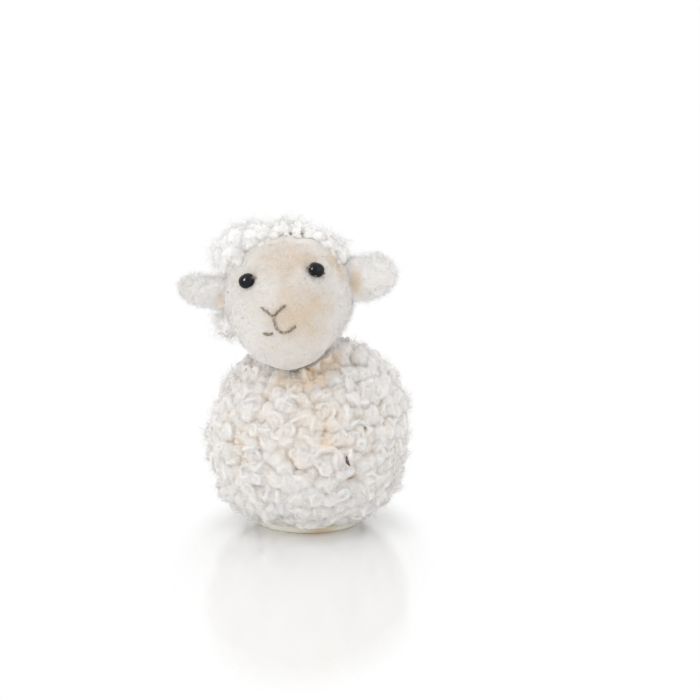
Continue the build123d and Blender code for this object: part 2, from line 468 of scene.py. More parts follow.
@dataclass(frozen=True)
class FleeceFinish:
    """Matted curls, with warm painted shade where they lie deep and pale where they stand out."""

    name: str
    deep: Colour
    middle: Colour
    tip: Colour
    centre: Spot
    deep_at: float
    middle_at: float
    tip_at: float
    shade_colour: Colour
    shade_patches: tuple[WarmShadePatch, ...]
    cloud_size: float = 190.0
    cloud_share: float = 0.35
    glow: float = 0.8
    glow_reach: float = 1.45
    bump: float = 0.45

    def material(self) -> bpy.types.Material:
        """Build the material, which paints warm shade on the wool that lies deep, told by the distance from
        the fleece's own centre.
        """
        bench = WoolBench(self.name, self.cloud_size)
        # Painted shade: the wool is darker and warmer the closer it lies to the fleece's centre, for the
        # shade in the crevices between the curls.
        out = bench.away(bench.spot, self.centre)
        low = bench.ramp(out, self.deep_at * MM, self.middle_at * MM)
        high = bench.ramp(out, self.middle_at * MM, self.tip_at * MM)
        colour = bench.mix(high, bench.mix(low, self.deep, self.middle), self.tip)
        colour = bench.mix(bench.math("MULTIPLY", bench.cloud, self.cloud_share), colour, self.middle)
        inputs = {
            # Warm patches of painted shade go on last.
            "Base Color": bench.painted_shade(colour, self.shade_colour, self.shade_patches),
            "Normal": bench.bump(self.bump),
            "Roughness": 0.75,
            "Specular IOR Level": 0.25,
            "Sheen Weight": 0.3,
            "Sheen Roughness": 0.5,
            "Subsurface Weight": self.glow,
            "Subsurface Radius": (1.0, 0.92, 0.82),
            "Subsurface Scale": self.glow_reach * MM,
        }
        return bench.dress(inputs)


@dataclass(frozen=True)
class FibreFinish:
    """Loose single fibres, with painted shade that darkens them towards their roots."""

    name: str
    root: Colour
    tip: Colour
    cool: Colour

    def material(self) -> bpy.types.Material:
        """Build the material, which reads tone and height from the fibres' own map."""
        bench = SurfaceBench(self.name)
        own = bench.own_map()
        pale = bench.mix(bench.ramp(own["X"], 0.15, 0.85), self.tip, self.cool)
        # Painted shade: darker and warmer at the root, where the fibre lies close to the wool.
        colour = bench.mix(bench.ramp(own["Y"], 0.0, 0.5), self.root, pale)
        inputs = {"Base Color": colour, "Roughness": 0.8, "Specular IOR Level": 0.2, "Sheen Weight": 0.3}
        return bench.dress(inputs)


@dataclass(frozen=True)
class FeltFinish:
    """Needled felt: pale, cloudy, faintly fibrous, with warm patches of painted shade."""

    name: str
    pale: Colour
    warm: Colour
    shade_colour: Colour = (0.60, 0.44, 0.27)
    shade_patches: tuple[WarmShadePatch, ...] = ()
    cloud_size: float = 130.0
    cloud_share: float = 0.55
    fibre_share: float = 0.35
    glow: float = 0.3
    glow_reach: float = 1.6
    bump: float = 0.6

    def material(self) -> bpy.types.Material:
        """Build the material on the model's own coordinates."""
        bench = WoolBench(self.name, self.cloud_size)
        colour = bench.mix(bench.math("MULTIPLY", bench.cloud, self.cloud_share), self.pale, self.warm)
        fibre = bench.ramp(bench.fibre, 0.35, 0.62)
        colour = bench.mix(bench.math("MULTIPLY", fibre, self.fibre_share), colour, self.warm)
        inputs = {
            # Warm patches of painted shade over the mottled felt.
            "Base Color": bench.painted_shade(colour, self.shade_colour, self.shade_patches),
            "Normal": bench.bump(self.bump),
            "Roughness": 0.9,
            "Specular IOR Level": 0.2,
            "Sheen Weight": 0.35,
            "Sheen Roughness": 0.45,
            "Subsurface Weight": self.glow,
            "Subsurface Radius": (1.0, 0.8, 0.6),
            "Subsurface Scale": self.glow_reach * MM,
        }
        return bench.dress(inputs)


@dataclass(frozen=True)
class BeadFinish:
    """Polished black glass."""

    name: str
    black: Colour
    haze: Colour
    dust_size: float = 900.0

    def material(self) -> bpy.types.Material:
        """Build the material, with a little dust that dulls the polish."""
        bench = SurfaceBench(self.name)
        dust = bench.noise(bench.place(), self.dust_size, 3.0)
        colour = bench.mix(bench.ramp(dust, 0.5, 0.8), self.black, self.haze)
        polish = bench.ramp(dust, 0.4, 0.75, 0.03, 0.07)
        return bench.dress({"Base Color": colour, "Roughness": polish, "Specular IOR Level": 0.22})


@dataclass(frozen=True)
class ThreadFinish:
    """Twisted sewing thread, darker between its plies."""

    name: str
    dark: Colour
    light: Colour
    fleck_size: float = 1800.0

    def material(self) -> bpy.types.Material:
        """Build the material, which reads tone from the plies' own map."""
        bench = SurfaceBench(self.name)
        tone = bench.ramp(bench.own_map()["X"], 0.0, 1.0, 0.45, 1.0)
        fleck = bench.ramp(bench.noise(bench.place(), self.fleck_size, 3.0), 0.35, 0.65)
        colour = bench.mix(bench.math("MULTIPLY", fleck, tone), self.dark, self.light)
        return bench.dress({"Base Color": colour, "Roughness": 0.75, "Sheen Weight": 0.3})


Finish = FleeceFinish | FibreFinish | FeltFinish | BeadFinish | ThreadFinish


@dataclass
class Finishes:
    """Every finish of the figurine, made once."""

    body_fleece: FleeceFinish = FleeceFinish(
        "body_fleece_wool",
        deep=(0.72, 0.63, 0.52),
        middle=(0.765, 0.73, 0.69),
        tip=(0.775, 0.76, 0.743),
        centre=(0.0, 0.0, 23.0),
        deep_at=24.0,
        middle_at=25.0,
        tip_at=26.0,
        # Painted shade: warm shade under the chin and round the neck, and a warm streak of crevice shade down
        # the chest.
        shade_colour=(0.78, 0.60, 0.42),
        shade_patches=(
            WarmShadePatch((1.0, -17.0, 40.7), 6.0, 0.85),
            WarmShadePatch((7.4, -14.0, 45.2), 6.0, 0.75),
            WarmShadePatch((5.0, -14.5, 48.0), 4.5, 0.55),
            WarmShadePatch((-6.0, -18.0, 40.5), 4.0, 0.5),
            WarmShadePatch((5.0, -23.3, 33.0), 2.6, 0.55),
            WarmShadePatch((5.0, -24.3, 29.5), 2.4, 0.55),
            WarmShadePatch((5.0, -24.6, 26.0), 2.2, 0.5),
            WarmShadePatch((2.0, -24.0, 29.0), 13.0, 0.18),
        ),
    )
    cap_fleece: FleeceFinish = FleeceFinish(
        "cap_fleece_wool",
        deep=(0.84, 0.81, 0.76),
        middle=(0.885, 0.87, 0.855),
        tip=(0.905, 0.90, 0.895),
        centre=(-4.7, -8.5, 59.9),
        deep_at=16.2,
        middle_at=17.4,
        tip_at=19.2,
        # Painted shade along the cap's front edge, over the forehead.
        shade_colour=(0.77, 0.72, 0.65),
        shade_patches=(
            WarmShadePatch((-6.6, -18.6, 72.1), 7.0, 0.8),
            WarmShadePatch((2.0, -17.5, 71.5), 7.0, 0.8),
            WarmShadePatch((-14.5, -16.0, 69.5), 6.0, 0.7),
            WarmShadePatch((8.0, -14.0, 68.0), 5.0, 0.7),
        ),
    )
    fleece_fibre: FibreFinish = FibreFinish(
        "loose_fleece_fibre", root=(0.88, 0.84, 0.79), tip=(0.94, 0.93, 0.915), cool=(0.94, 0.935, 0.935)
    )
    felt_fibre: FibreFinish = FibreFinish(
        "loose_felt_fibre", root=(0.82, 0.79, 0.75), tip=(0.90, 0.885, 0.87), cool=(0.90, 0.89, 0.885)
    )
    face_felt: FeltFinish = FeltFinish(
        "face_wool_felt",
        pale=(0.775, 0.755, 0.735),
        warm=(0.70, 0.64, 0.565),
        # Painted shade: under the front edge of the cap, at the brows, down the side of the muzzle away from
        # the key light, at the right ear's root and under the chin.
        shade_patches=(
            WarmShadePatch((0.7, -19.1, 70.7), 5.5, 0.45),
            WarmShadePatch((-6.1, -20.0, 70.6), 9.0, 0.42),
            WarmShadePatch((8.8, -14.2, 67.3), 4.0, 0.65),
            WarmShadePatch((7.0, -15.0, 69.5), 4.0, 0.6),
            WarmShadePatch((-1.0, -27.5, 58.5), 10.0, 0.58),
            WarmShadePatch((-2.5, -26.0, 63.5), 7.0, 0.28),
            WarmShadePatch((4.5, -22.8, 61.0), 6.0, 0.2),
            WarmShadePatch((1.5, -26.5, 52.0), 8.0, 0.14),
            WarmShadePatch((-19.6, -8.5, 59.5), 4.0, 0.45),
            WarmShadePatch((-3.0, -20.0, 44.0), 8.0, 0.25),
        ),
    )
    ear_felt: FeltFinish = FeltFinish(
        "ear_wool_felt",
        pale=(0.925, 0.92, 0.915),
        warm=(0.885, 0.865, 0.84),
        # Painted shade at the roots of both ears.
        shade_colour=(0.68, 0.50, 0.31),
        shade_patches=(WarmShadePatch((11.5, -10.5, 63.5), 4.5, 0.75), WarmShadePatch((-20.5, -7.5, 59.0), 3.6, 0.5)),
    )
    # The tan of the core wool is painted warm shade: it shows in the crevices between the curls and in the
    # gap under the chin.
    core_felt: FeltFinish = FeltFinish("core_wool_felt", pale=(0.86, 0.77, 0.65), warm=(0.79, 0.67, 0.52))
    # Painted light: the pale is pushed near full brightness to stand in for light thrown up off the table
    # onto the pad under the overhanging fleece. The warm patch at the front is painted shade where the pad
    # meets the fleece and the table.
    pad_felt: FeltFinish = FeltFinish(
        "pad_wool_felt",
        pale=(0.97, 0.95, 0.85),
        warm=(0.94, 0.89, 0.74),
        shade_colour=(0.74, 0.56, 0.34),
        shade_patches=(WarmShadePatch((2.5, -12.3, 1.0), 6.0, 0.7),),
    )
    bead: BeadFinish = BeadFinish("black_bead_glass", black=(0.003, 0.0035, 0.006), haze=(0.012, 0.014, 0.02))
    thread: ThreadFinish = ThreadFinish(
        "brown_sewing_thread", dark=(0.13, 0.095, 0.06), light=(0.52, 0.43, 0.32)
    )
    # Also the colour of the dark fleck of painted shade in the body fleece.
    fleck: ThreadFinish = ThreadFinish(
        "dark_fibre_and_crevice_shade", dark=(0.03, 0.012, 0.006), light=(0.16, 0.08, 0.035)
    )
    made: dict[str, bpy.types.Material] = field(default_factory=dict)

    def of(self, finish: Finish) -> bpy.types.Material:
        """The material of a finish, built the first time that it is asked for."""
        if finish.name not in self.made:
            self.made[finish.name] = finish.material()
        return self.made[finish.name]


# Strands and locks


def carried_frames(path: Sequence[Vector]) -> list[Matrix]:
    """Frames along a path that turn no more than the path does.

    Args:
        path: The points of the path.

    Returns:
        One matrix for each point, with z along the path.
    """
    last = len(path) - 1
    tangents = [(path[min(i + 1, last)] - path[max(i - 1, 0)]).normalized() for i in range(last + 1)]
    normal = tangents[0].orthogonal().normalized()
    frames = []
    for i, tangent in enumerate(tangents):
        if i:
            normal = tangents[i - 1].rotation_difference(tangent) @ normal
        normal = (normal - tangent * normal.dot(tangent)).normalized()
        frames.append(axes_frame(normal, tangent.cross(normal), tangent, path[i]))
    return frames


def add_strand(
    bm: bmesh.types.BMesh,
    path: Sequence[Vector],
    radii: Sequence[float],
    sides: int,
    tone: float = 0.5,
    top: float = 1.0,
) -> None:
    """Extrude one strand along a path, and write its tone and height in the bake map.

    Args:
        bm: The mesh that takes the strand.
        path: The strand's centre line.
        radii: Its radius at each point.
        sides: How many sides it has.
        tone: Its tone, from 0 to 1.
        top: The height that counts as the tip.
    """
    tone_step, height_step, least_height, most_height = 0.008, 0.001, 0.02, 0.97
    frames = carried_frames(path)
    rings = [turned @ Matrix.Diagonal((size, size, size, 1)) for turned, size in zip(frames, radii)]
    verts = bmesh.ops.create_circle(bm, cap_ends=True, segments=sides, radius=1.0, matrix=rings[0])["verts"]
    steps = {vert: 0 for vert in verts}
    foot = verts[0].link_faces[0]
    faces, edges = {foot}, list(foot.edges)
    for step, (before, after) in enumerate(zip(rings, rings[1:]), 1):
        grown = bmesh.ops.extrude_edge_only(bm, edges=edges)["geom"]
        verts = [part for part in grown if isinstance(part, bmesh.types.BMVert)]
        fresh = set(verts)
        edges = [part for part in grown if isinstance(part, bmesh.types.BMEdge)]
        edges = [edge for edge in edges if fresh.issuperset(edge.verts)]
        faces.update(part for part in grown if isinstance(part, bmesh.types.BMFace))
        bmesh.ops.transform(bm, matrix=after @ before.inverted(), verts=verts)
        steps.update((vert, step) for vert in verts)
    faces.update(bmesh.ops.edgeloop_fill(bm, edges=edges)["faces"])
    bake = bm.loops.layers.uv.verify()
    for face in faces:
        for corner, loop in enumerate(face.loops):
            height = min(most_height, max(least_height, loop.vert.co.z / top))
            loop[bake].uv = (tone + tone_step * corner, height + height_step * steps[loop.vert])


@dataclass
class LockStyle:
    """Sizes of a lock of curly wool, standing on z = 0 with its roots sunk."""

    curl_radius: float = 1.5
    curl_height: float = 2.4
    bundle_radius: float = 0.32
    strand_radius: float = 0.36
    strand_count: int = 3
    strand_sides: int = 6
    turns: float = 1.25
    spread: float = 3.0
    sink: float = 1.2
    wildness: float = 0.12
    rings: int = 15
    mound_width: float = 2.4
    mound_height: float = 1.95
    mound_centre: float = 1.9
    mound_lump: float = 0.16
    mound_grain: float = 1.4
    arch_half_width: float = 3.5
    arch_half_height: float = 2.9
    arch_radius: float = 0.8
    arch_drop: float = 0.5

    @property
    def top(self) -> float:
        """The height of the lock's tip."""
        return self.curl_height + self.curl_radius + self.bundle_radius

    def centre_line(self, shape: CurlShape, rng: random.Random) -> list[Vector]:
        """The path that the lock's bundle follows.

        Args:
            shape: The way that it winds.
            rng: The lock's own source of chance.

        Returns:
            Points from root to root, or from root to tip.
        """
        radius = self.curl_radius * rng.uniform(0.85, 1.2)
        turns = self.turns * rng.uniform(0.85, 1.2)
        phase = rng.uniform(-0.6, 0.6)
        lean = rng.uniform(-0.5, 0.5)
        shares = even_shares(self.rings)
        if shape is CurlShape.RINGLET:
            return [self.ringlet(t, radius, t * turns * math.tau + phase) for t in shares]
        if shape is CurlShape.SNAIL:
            return [self.snail(t, radius, t * (turns + 0.3) * math.tau + phase) for t in shares]
        return [self.loop(t, radius, lean) for t in shares]

    def ringlet(self, t: float, radius: float, angle: float) -> Vector:
        """A point of a helix that lies along the skin, with both ends rooted."""
        hold = blend_step(t, 0.0, 0.16) * blend_step(1 - t, 0.0, 0.16)
        y = radius * math.cos(angle) * (0.35 + 0.65 * hold)
        z = -self.sink + (self.sink + self.curl_height + radius * math.sin(angle)) * hold
        return Vector(((t - 0.5) * self.spread, y, z))

    def snail(self, t: float, radius: float, angle: float) -> Vector:
        """A point of a spiral that closes as it rises."""
        close = radius * (1.25 - 0.95 * t)
        climb = math.sin(0.5 * math.pi * min(1.0, t * 1.5))
        z = -self.sink + (self.sink + self.curl_height + radius * 0.75) * climb
        return Vector((close * math.cos(angle), close * math.sin(angle), z))

    def loop(self, t: float, radius: float, lean: float) -> Vector:
        """A point of an open loop that stands up and leans over."""
        angle = math.radians(-55 + 290 * t)
        hold = blend_step(t, 0.0, 0.12) * blend_step(1 - t, 0.0, 0.12)
        x = (t - 0.5) * self.spread * 0.6 + lean * math.sin(math.pi * t)
        y = radius * 1.1 * math.cos(angle) * (0.4 + 0.6 * hold)
        rise = self.sink + self.curl_height - 0.2 + radius * 1.05 * math.sin(angle)
        return Vector((x, y, -self.sink + rise * max(hold, 0.02)))

    def template(self, name: str, shape: CurlShape, seed: int) -> bpy.types.Mesh:
        """Build one lock as a bundle of strands round a mound.

        Args:
            name: The mesh's name.
            shape: The way that the lock winds.
            seed: What makes this lock differ from the rest.

        Returns:
            A mesh in millimetres.
        """
        rng = random.Random(seed)
        bm = mapped_bmesh()
        frames = carried_frames(self.centre_line(shape, rng))
        twist = rng.choice((-1, 1)) * rng.uniform(0.6, 1.3)
        for strand in range(self.strand_count):
            start = math.tau * strand / self.strand_count + rng.uniform(-0.3, 0.3)
            reach = self.bundle_radius * rng.uniform(0.8, 1.2)
            drift = chance_step(rng, 1) * self.wildness
            path, radii = [], []
            for t, turned in zip(even_shares(len(frames)), frames):
                angle = start + twist * t * math.tau
                swell = 0.6 + 0.4 * math.sin(math.pi * t)
                aside = Vector((math.cos(angle), math.sin(angle), 0)) * reach * swell
                path.append(turned @ aside + drift * math.sin(2 * math.pi * t + start))
                radii.append(self.strand_radius * swell)
            add_strand(bm, path, radii, self.strand_sides)
        self.mound(bm, rng)
        return template_mesh(name, bm)

    def mound(self, bm: bmesh.types.BMesh, rng: random.Random) -> None:
        """Add the matted wool that fills the inside of the lock.

        Args:
            bm: The lock's mesh.
            rng: The lock's own source of chance.
        """
        verts = bmesh.ops.create_icosphere(bm, subdivisions=2, radius=1.0)["verts"]
        shift = chance_step(rng, 9)
        for vert in verts:
            vert.co *= 1 + self.mound_lump * noise.noise(vert.co * self.mound_grain + shift)
        bmesh.ops.scale(bm, vec=Vector((self.mound_width, self.mound_width, self.mound_height)), verts=verts)
        bmesh.ops.translate(bm, vec=Vector((0, 0, self.mound_centre)), verts=verts)

    def arch(self, name: str, seed: int) -> bpy.types.Mesh:
        """One thick lock that arches over the curls, with both ends tucked in.

        Args:
            name: The mesh's name.
            seed: What shapes its mound.

        Returns:
            A mesh in millimetres.
        """
        bm = mapped_bmesh()
        path = []
        for t in even_shares(self.rings):
            angle = math.radians(215 - 250 * t)
            tucked = self.curl_radius * (1 - blend_step(min(t, 1 - t), 0.0, 0.22))
            x, y = self.arch_half_width * math.cos(angle), self.arch_half_height * math.sin(angle)
            path.append(Vector((x, y, self.top - self.arch_drop - tucked)))
        add_strand(bm, path, [self.arch_radius] * self.rings, 8)
        self.mound(bm, random.Random(seed))
        return template_mesh(name, bm)

    def kit(self, name: str, seed: int, copies: int) -> list[bpy.types.Mesh]:
        """Several locks of each shape, with most of them curled flat."""
        shapes = [CurlShape.SNAIL, CurlShape.RINGLET, CurlShape.SNAIL, CurlShape.LOOP] * copies
        return [self.template(f"{name}_{i}", shape, seed + i) for i, shape in enumerate(shapes)]


@dataclass
class FuzzStyle:
    """Sizes of a small tuft of loose surface fibres."""

    patch_radius: float
    fibre_count: int
    fibre_radius: float
    rise: float
    run: float
    rings: int = 5
    sink: float = 0.15
    bend: float = 1.6
    bow: float = 2.2
    taper: float = 0.75
    tip_share: float = 1.4

    def template(self, name: str, seed: int) -> bpy.types.Mesh:
        """Build one tuft.

        Args:
            name: The mesh's name.
            seed: What makes this tuft differ from the rest.

        Returns:
            A mesh in millimetres with a bake map.
        """
        rng = random.Random(seed)
        bm = mapped_bmesh()
        shares = even_shares(self.rings)
        for _ in range(self.fibre_count):
            where, bearing = rng.uniform(0, math.tau), rng.uniform(0, math.tau)
            out = self.patch_radius * math.sqrt(rng.random())
            root = Vector((math.cos(where) * out, math.sin(where) * out, -self.sink))
            curve, rise = rng.uniform(-self.bend, self.bend), self.rise * rng.uniform(0.5, 1.5)
            run = self.run * rng.uniform(0.5, 1.4)
            path = []
            for t in shares:
                heading = bearing + curve * t
                lift = rise * math.sin(self.bow * t)
                path.append(root + Vector((math.cos(heading) * run * t, math.sin(heading) * run * t, lift)))
            radii = [self.fibre_radius * (1.0 - self.taper * t) for t in shares]
            add_strand(bm, path, radii, 3, rng.uniform(0.2, 0.9), self.rise * self.tip_share)
        return template_mesh(name, bm)

    def kit(self, name: str, seed: int, copies: int = 8) -> list[bpy.types.Mesh]:
        """Several tufts that differ."""
        return [self.template(f"{name}_{i}", seed + i) for i in range(copies)]


@dataclass(frozen=True)
class Felting:
    """How overlapping locks are felted into one soft skin."""

    grain: float = 0.25
    rounds: int = 6
    softness: float = 0.5
    ripple: float = 0.14
    ripple_size: float = 0.65

    def apply(self, piece: bpy.types.Object) -> None:
        """Replace the piece's mesh by its felted skin.

        Args:
            piece: A piece made of closed parts that overlap.
        """
        skin = piece.modifiers.new("felted_skin", "REMESH")
        skin.mode, skin.voxel_size, skin.use_smooth_shade = "VOXEL", self.grain * MM, True
        soft = piece.modifiers.new("soft_skin", "SMOOTH")
        soft.factor, soft.iterations = self.softness, self.rounds
        made = bpy.data.meshes.new_from_object(piece.evaluated_get(bpy.context.evaluated_depsgraph_get()))
        piece.modifiers.clear()
        before, piece.data = piece.data, made
        bpy.data.meshes.remove(before)
        made.name = piece.name
        bm = bmesh.new()
        bm.from_mesh(made)
        bm.normal_update()
        for vert in bm.verts:
            lift = noise.noise(vert.co / (self.ripple_size * MM)) * self.ripple
            vert.co += vert.normal * lift * MM
        bm.to_mesh(made)
        bm.free()
        made.shade_smooth()


class Planter:
    """Plants copies of small template meshes into one piece."""

    least_facing = 0.55

    def __init__(self, seed: int) -> None:
        """Start an empty piece with its own source of chance."""
        self.rng = random.Random(seed)
        self.bm = mapped_bmesh()

    def plant(self, template: bpy.types.Mesh, place: Matrix) -> None:
        """Add one copy.

        Args:
            template: The mesh to copy.
            place: Where it stands.
        """
        copy = template.copy()
        copy.transform(place)
        self.bm.from_mesh(copy)
        bpy.data.meshes.remove(copy)

    def scatter(self, tufts: list[bpy.types.Mesh], point: Vector, normal: Vector, sizes: Flat) -> None:
        """Add one of several tufts, turned and sized by chance.

        Args:
            tufts: The tuft templates.
            point: Where it stands.
            normal: The way that it stands up.
            sizes: Its least and its greatest size.
        """
        tuft, spin, size = self.rng.choice(tufts), self.rng.uniform(0, math.tau), self.rng.uniform(*sizes)
        self.plant(tuft, standing_frame(point, normal, spin, size))

    def dress(
        self,
        pieces: list[bpy.types.Object],
        tufts: list[bpy.types.Mesh],
        count: int,
        centre: Vector,
        reach: float,
    ) -> None:
        """Scatter tufts over the outer skin of finished pieces.

        Args:
            pieces: The pieces to dress.
            tufts: The tuft templates.
            count: How many tufts are wanted.
            centre: The middle that the skin faces away from, in millimetres.
            reach: How far out the skin has to be to take a tuft.
        """
        spots = []
        for piece in pieces:
            for vert in piece.data.vertices:
                away = vert.co / MM - centre
                if away.length > reach and vert.normal.dot(away) > self.least_facing * away.length:
                    spots.append((vert.co / MM, vert.normal.copy()))
        for point, normal in self.rng.sample(spots, count):
            self.scatter(tufts, point, normal, (0.7, 1.3))

    def finish(self, name: str, material: bpy.types.Material, comb: Comb | None = None) -> bpy.types.Object:
        """Write the piece.

        Args:
            name: Its name.
            material: Its material.
            comb: What moves its points aside, if anything does.

        Returns:
            The finished object.
        """
        if comb:
            comb_points(self.bm, comb)
        return finish_mesh(name, self.bm, material)


class Fleece(Planter):
    """Locks that are felted together and then parted into their rows along the creases."""

    buried_depth = 0.4

    def __init__(self, seed: int, centre: Vector, filling: float) -> None:
        """Start a fleece on a ball.

        Args:
            seed: What makes this fleece differ from the rest.
            centre: The middle of the ball, in millimetres.
            filling: The radius of the ball that fills the fleece from inside.
        """
        super().__init__(seed)
        self.centre, self.filling = centre, filling
        self.roots: list[tuple[Vector, int]] = []
        bmesh.ops.create_icosphere(self.bm, subdivisions=4, radius=filling, matrix=Matrix.Translation(centre))

    def root(self, template: bpy.types.Mesh, place: Matrix, row: int, height: float) -> None:
        """Plant one lock of a row.

        Args:
            template: The lock.
            place: Where it stands.
            row: The row that it belongs to.
            height: How high above its root its middle is.
        """
        self.plant(template, place)
        self.roots.append((place @ Vector((0, 0, height)), row))

    def part(
        self, names: list[str], material: bpy.types.Material, felting: Felting, comb: Comb = np.copy
    ) -> list[bpy.types.Object]:
        """Felt the locks and part them.

        Args:
            names: The names of the rows.
            material: Their material.
            felting: How the locks grow together.
            comb: What moves the skin aside.

        Returns:
            One piece for each row.
        """
        whole = self.finish("whole_fleece", material)
        felting.apply(whole)
        skin = bmesh.new()
        skin.from_mesh(whole.data)
        comb_points(skin, comb, MM)
        tree = KDTree(len(self.roots))
        for i, (place, _) in enumerate(self.roots):
            tree.insert(place, i)
        tree.balance()
        for face in skin.faces:
            middle = face.calc_center_median()
            buried = (middle - self.centre).length < self.filling + self.buried_depth
            face.material_index = len(names) if buried else self.roots[tree.find(middle)[1]][1]
        pieces = []
        for row, name in enumerate(names):
            part = skin.copy()
            others = [face for face in part.faces if face.material_index != row]
            bmesh.ops.delete(part, geom=others, context="FACES")
            for face in part.faces:
                face.material_index = 0
            pieces.append(finish_mesh(name, part, material))
        skin.free()
        old = whole.data
        bpy.data.objects.remove(whole)
        bpy.data.meshes.remove(old)
        return pieces


# The lamb's own forms


@dataclass
class HeadForm:
    """The head's round cone and its directions, as in the CAD model."""

    centre: Spot = (-4.667, -8.529, 59.941)
    neck: Spot = (-0.12217, -0.223266, 0.967071)
    turn: float = 6.0
    roll: float = 9.0
    cranium_radius: float = 16.0
    muzzle_radius: float = 12.0
    muzzle_reach: float = 10.0
    muzzle_droop: float = 30.0
    turn_limit: float = 20.0
    turn_steps: int = 4

    def __post_init__(self) -> None:
        """Work out the frame, the muzzle's axis and the taper."""
        turn, roll = math.radians(self.turn), math.radians(self.roll)
        self.x = Vector((math.cos(turn) * math.cos(roll), -math.sin(turn) * math.cos(roll), math.sin(roll)))
        self.z = Vector((-math.sin(roll) * math.cos(turn), math.sin(roll) * math.sin(turn), math.cos(roll)))
        self.y = self.z.cross(self.x)
        self.origin = Vector(self.centre)
        self.axis = self.direction(0, -self.muzzle_droop)
        self.muzzle_centre = self.origin + self.axis * self.muzzle_reach
        self.taper = math.acos((self.cranium_radius - self.muzzle_radius) / self.muzzle_reach)
        front = self.muzzle_reach + self.muzzle_radius * math.cos(self.taper)
        self.front_angle = math.atan2(self.muzzle_radius * math.sin(self.taper), front)

    def direction(self, azimuth: float, elevation: float) -> Vector:
        """A direction of the head, from its angles about and above its own front."""
        a, e = math.radians(azimuth), math.radians(elevation)
        return self.x * math.sin(a) * math.cos(e) - self.y * math.cos(a) * math.cos(e) + self.z * math.sin(e)

    def angles(self, direction: Vector) -> Angles:
        """The azimuth and elevation of a direction."""
        x, y, z = direction.dot(self.x), direction.dot(self.y), direction.dot(self.z)
        return math.degrees(math.atan2(x, -y)), math.degrees(math.asin(max(-1.0, min(1.0, z))))

    def surface(self, direction: Vector) -> tuple[Vector, Vector]:
        """Where a ray from the head's centre leaves the round cone.

        Args:
            direction: The ray, of unit length.

        Returns:
            The point and the normal there.
        """
        lean = direction.angle(self.axis, 0.0)
        if lean >= self.taper:
            return self.origin + direction * self.cranium_radius, direction.copy()
        if lean > self.front_angle:
            aside = (direction - self.axis * direction.dot(self.axis)).normalized()
            normal = self.axis * math.cos(self.taper) + aside * math.sin(self.taper)
            return self.origin + direction * (self.cranium_radius / math.cos(self.taper - lean)), normal
        across = self.muzzle_reach * math.sin(lean)
        reach = self.muzzle_reach * math.cos(lean) + math.sqrt(self.muzzle_radius**2 - across**2)
        point = self.origin + direction * reach
        return point, (point - self.muzzle_centre).normalized()

    def push_out(self, points: np.ndarray, margin: float) -> np.ndarray:
        """Move points clear of the head at every turn of its neck.

        Args:
            points: Rows of places, in millimetres.
            margin: How far they stay from the head.

        Returns:
            The moved rows.
        """
        slope = (self.cranium_radius - self.muzzle_radius) / self.muzzle_reach
        flat = math.sqrt(1 - slope * slope)
        moved = points.copy()
        for step in range(-self.turn_steps, self.turn_steps + 1):
            angle = math.radians(self.turn_limit * step / self.turn_steps)
            axis = np.array(Quaternion(Vector(self.neck), angle) @ self.axis)
            away = moved - np.array(self.origin)
            along = away @ axis
            side = away - np.outer(along, axis)
            out = np.maximum(np.linalg.norm(side, axis=1), TINY)
            side /= out[:, None]
            zone = along * flat - out * slope
            near_back, near_front = zone < 0, zone > flat * self.muzzle_reach
            ahead = along - self.muzzle_reach
            rest = np.maximum(np.hypot(out, along), TINY)
            tip = np.maximum(np.hypot(out, ahead), TINY)
            gap = out * flat + along * slope - self.cranium_radius
            gap = np.where(near_back, rest - self.cranium_radius, gap)
            gap = np.where(near_front, tip - self.muzzle_radius, gap)
            lift = np.where(near_back, out / rest, np.where(near_front, out / tip, flat))
            fore = np.where(near_back, along / rest, np.where(near_front, ahead / tip, slope))
            push = np.maximum(margin - gap, 0.0)
            moved += push[:, None] * (side * lift[:, None] + np.outer(fore, axis))
        return moved


@dataclass(frozen=True)
class Shoulder:
    """A place where the fleece is fuller, by a second layer of locks that stands higher."""

    way: Spot
    lift: float
    spread: float


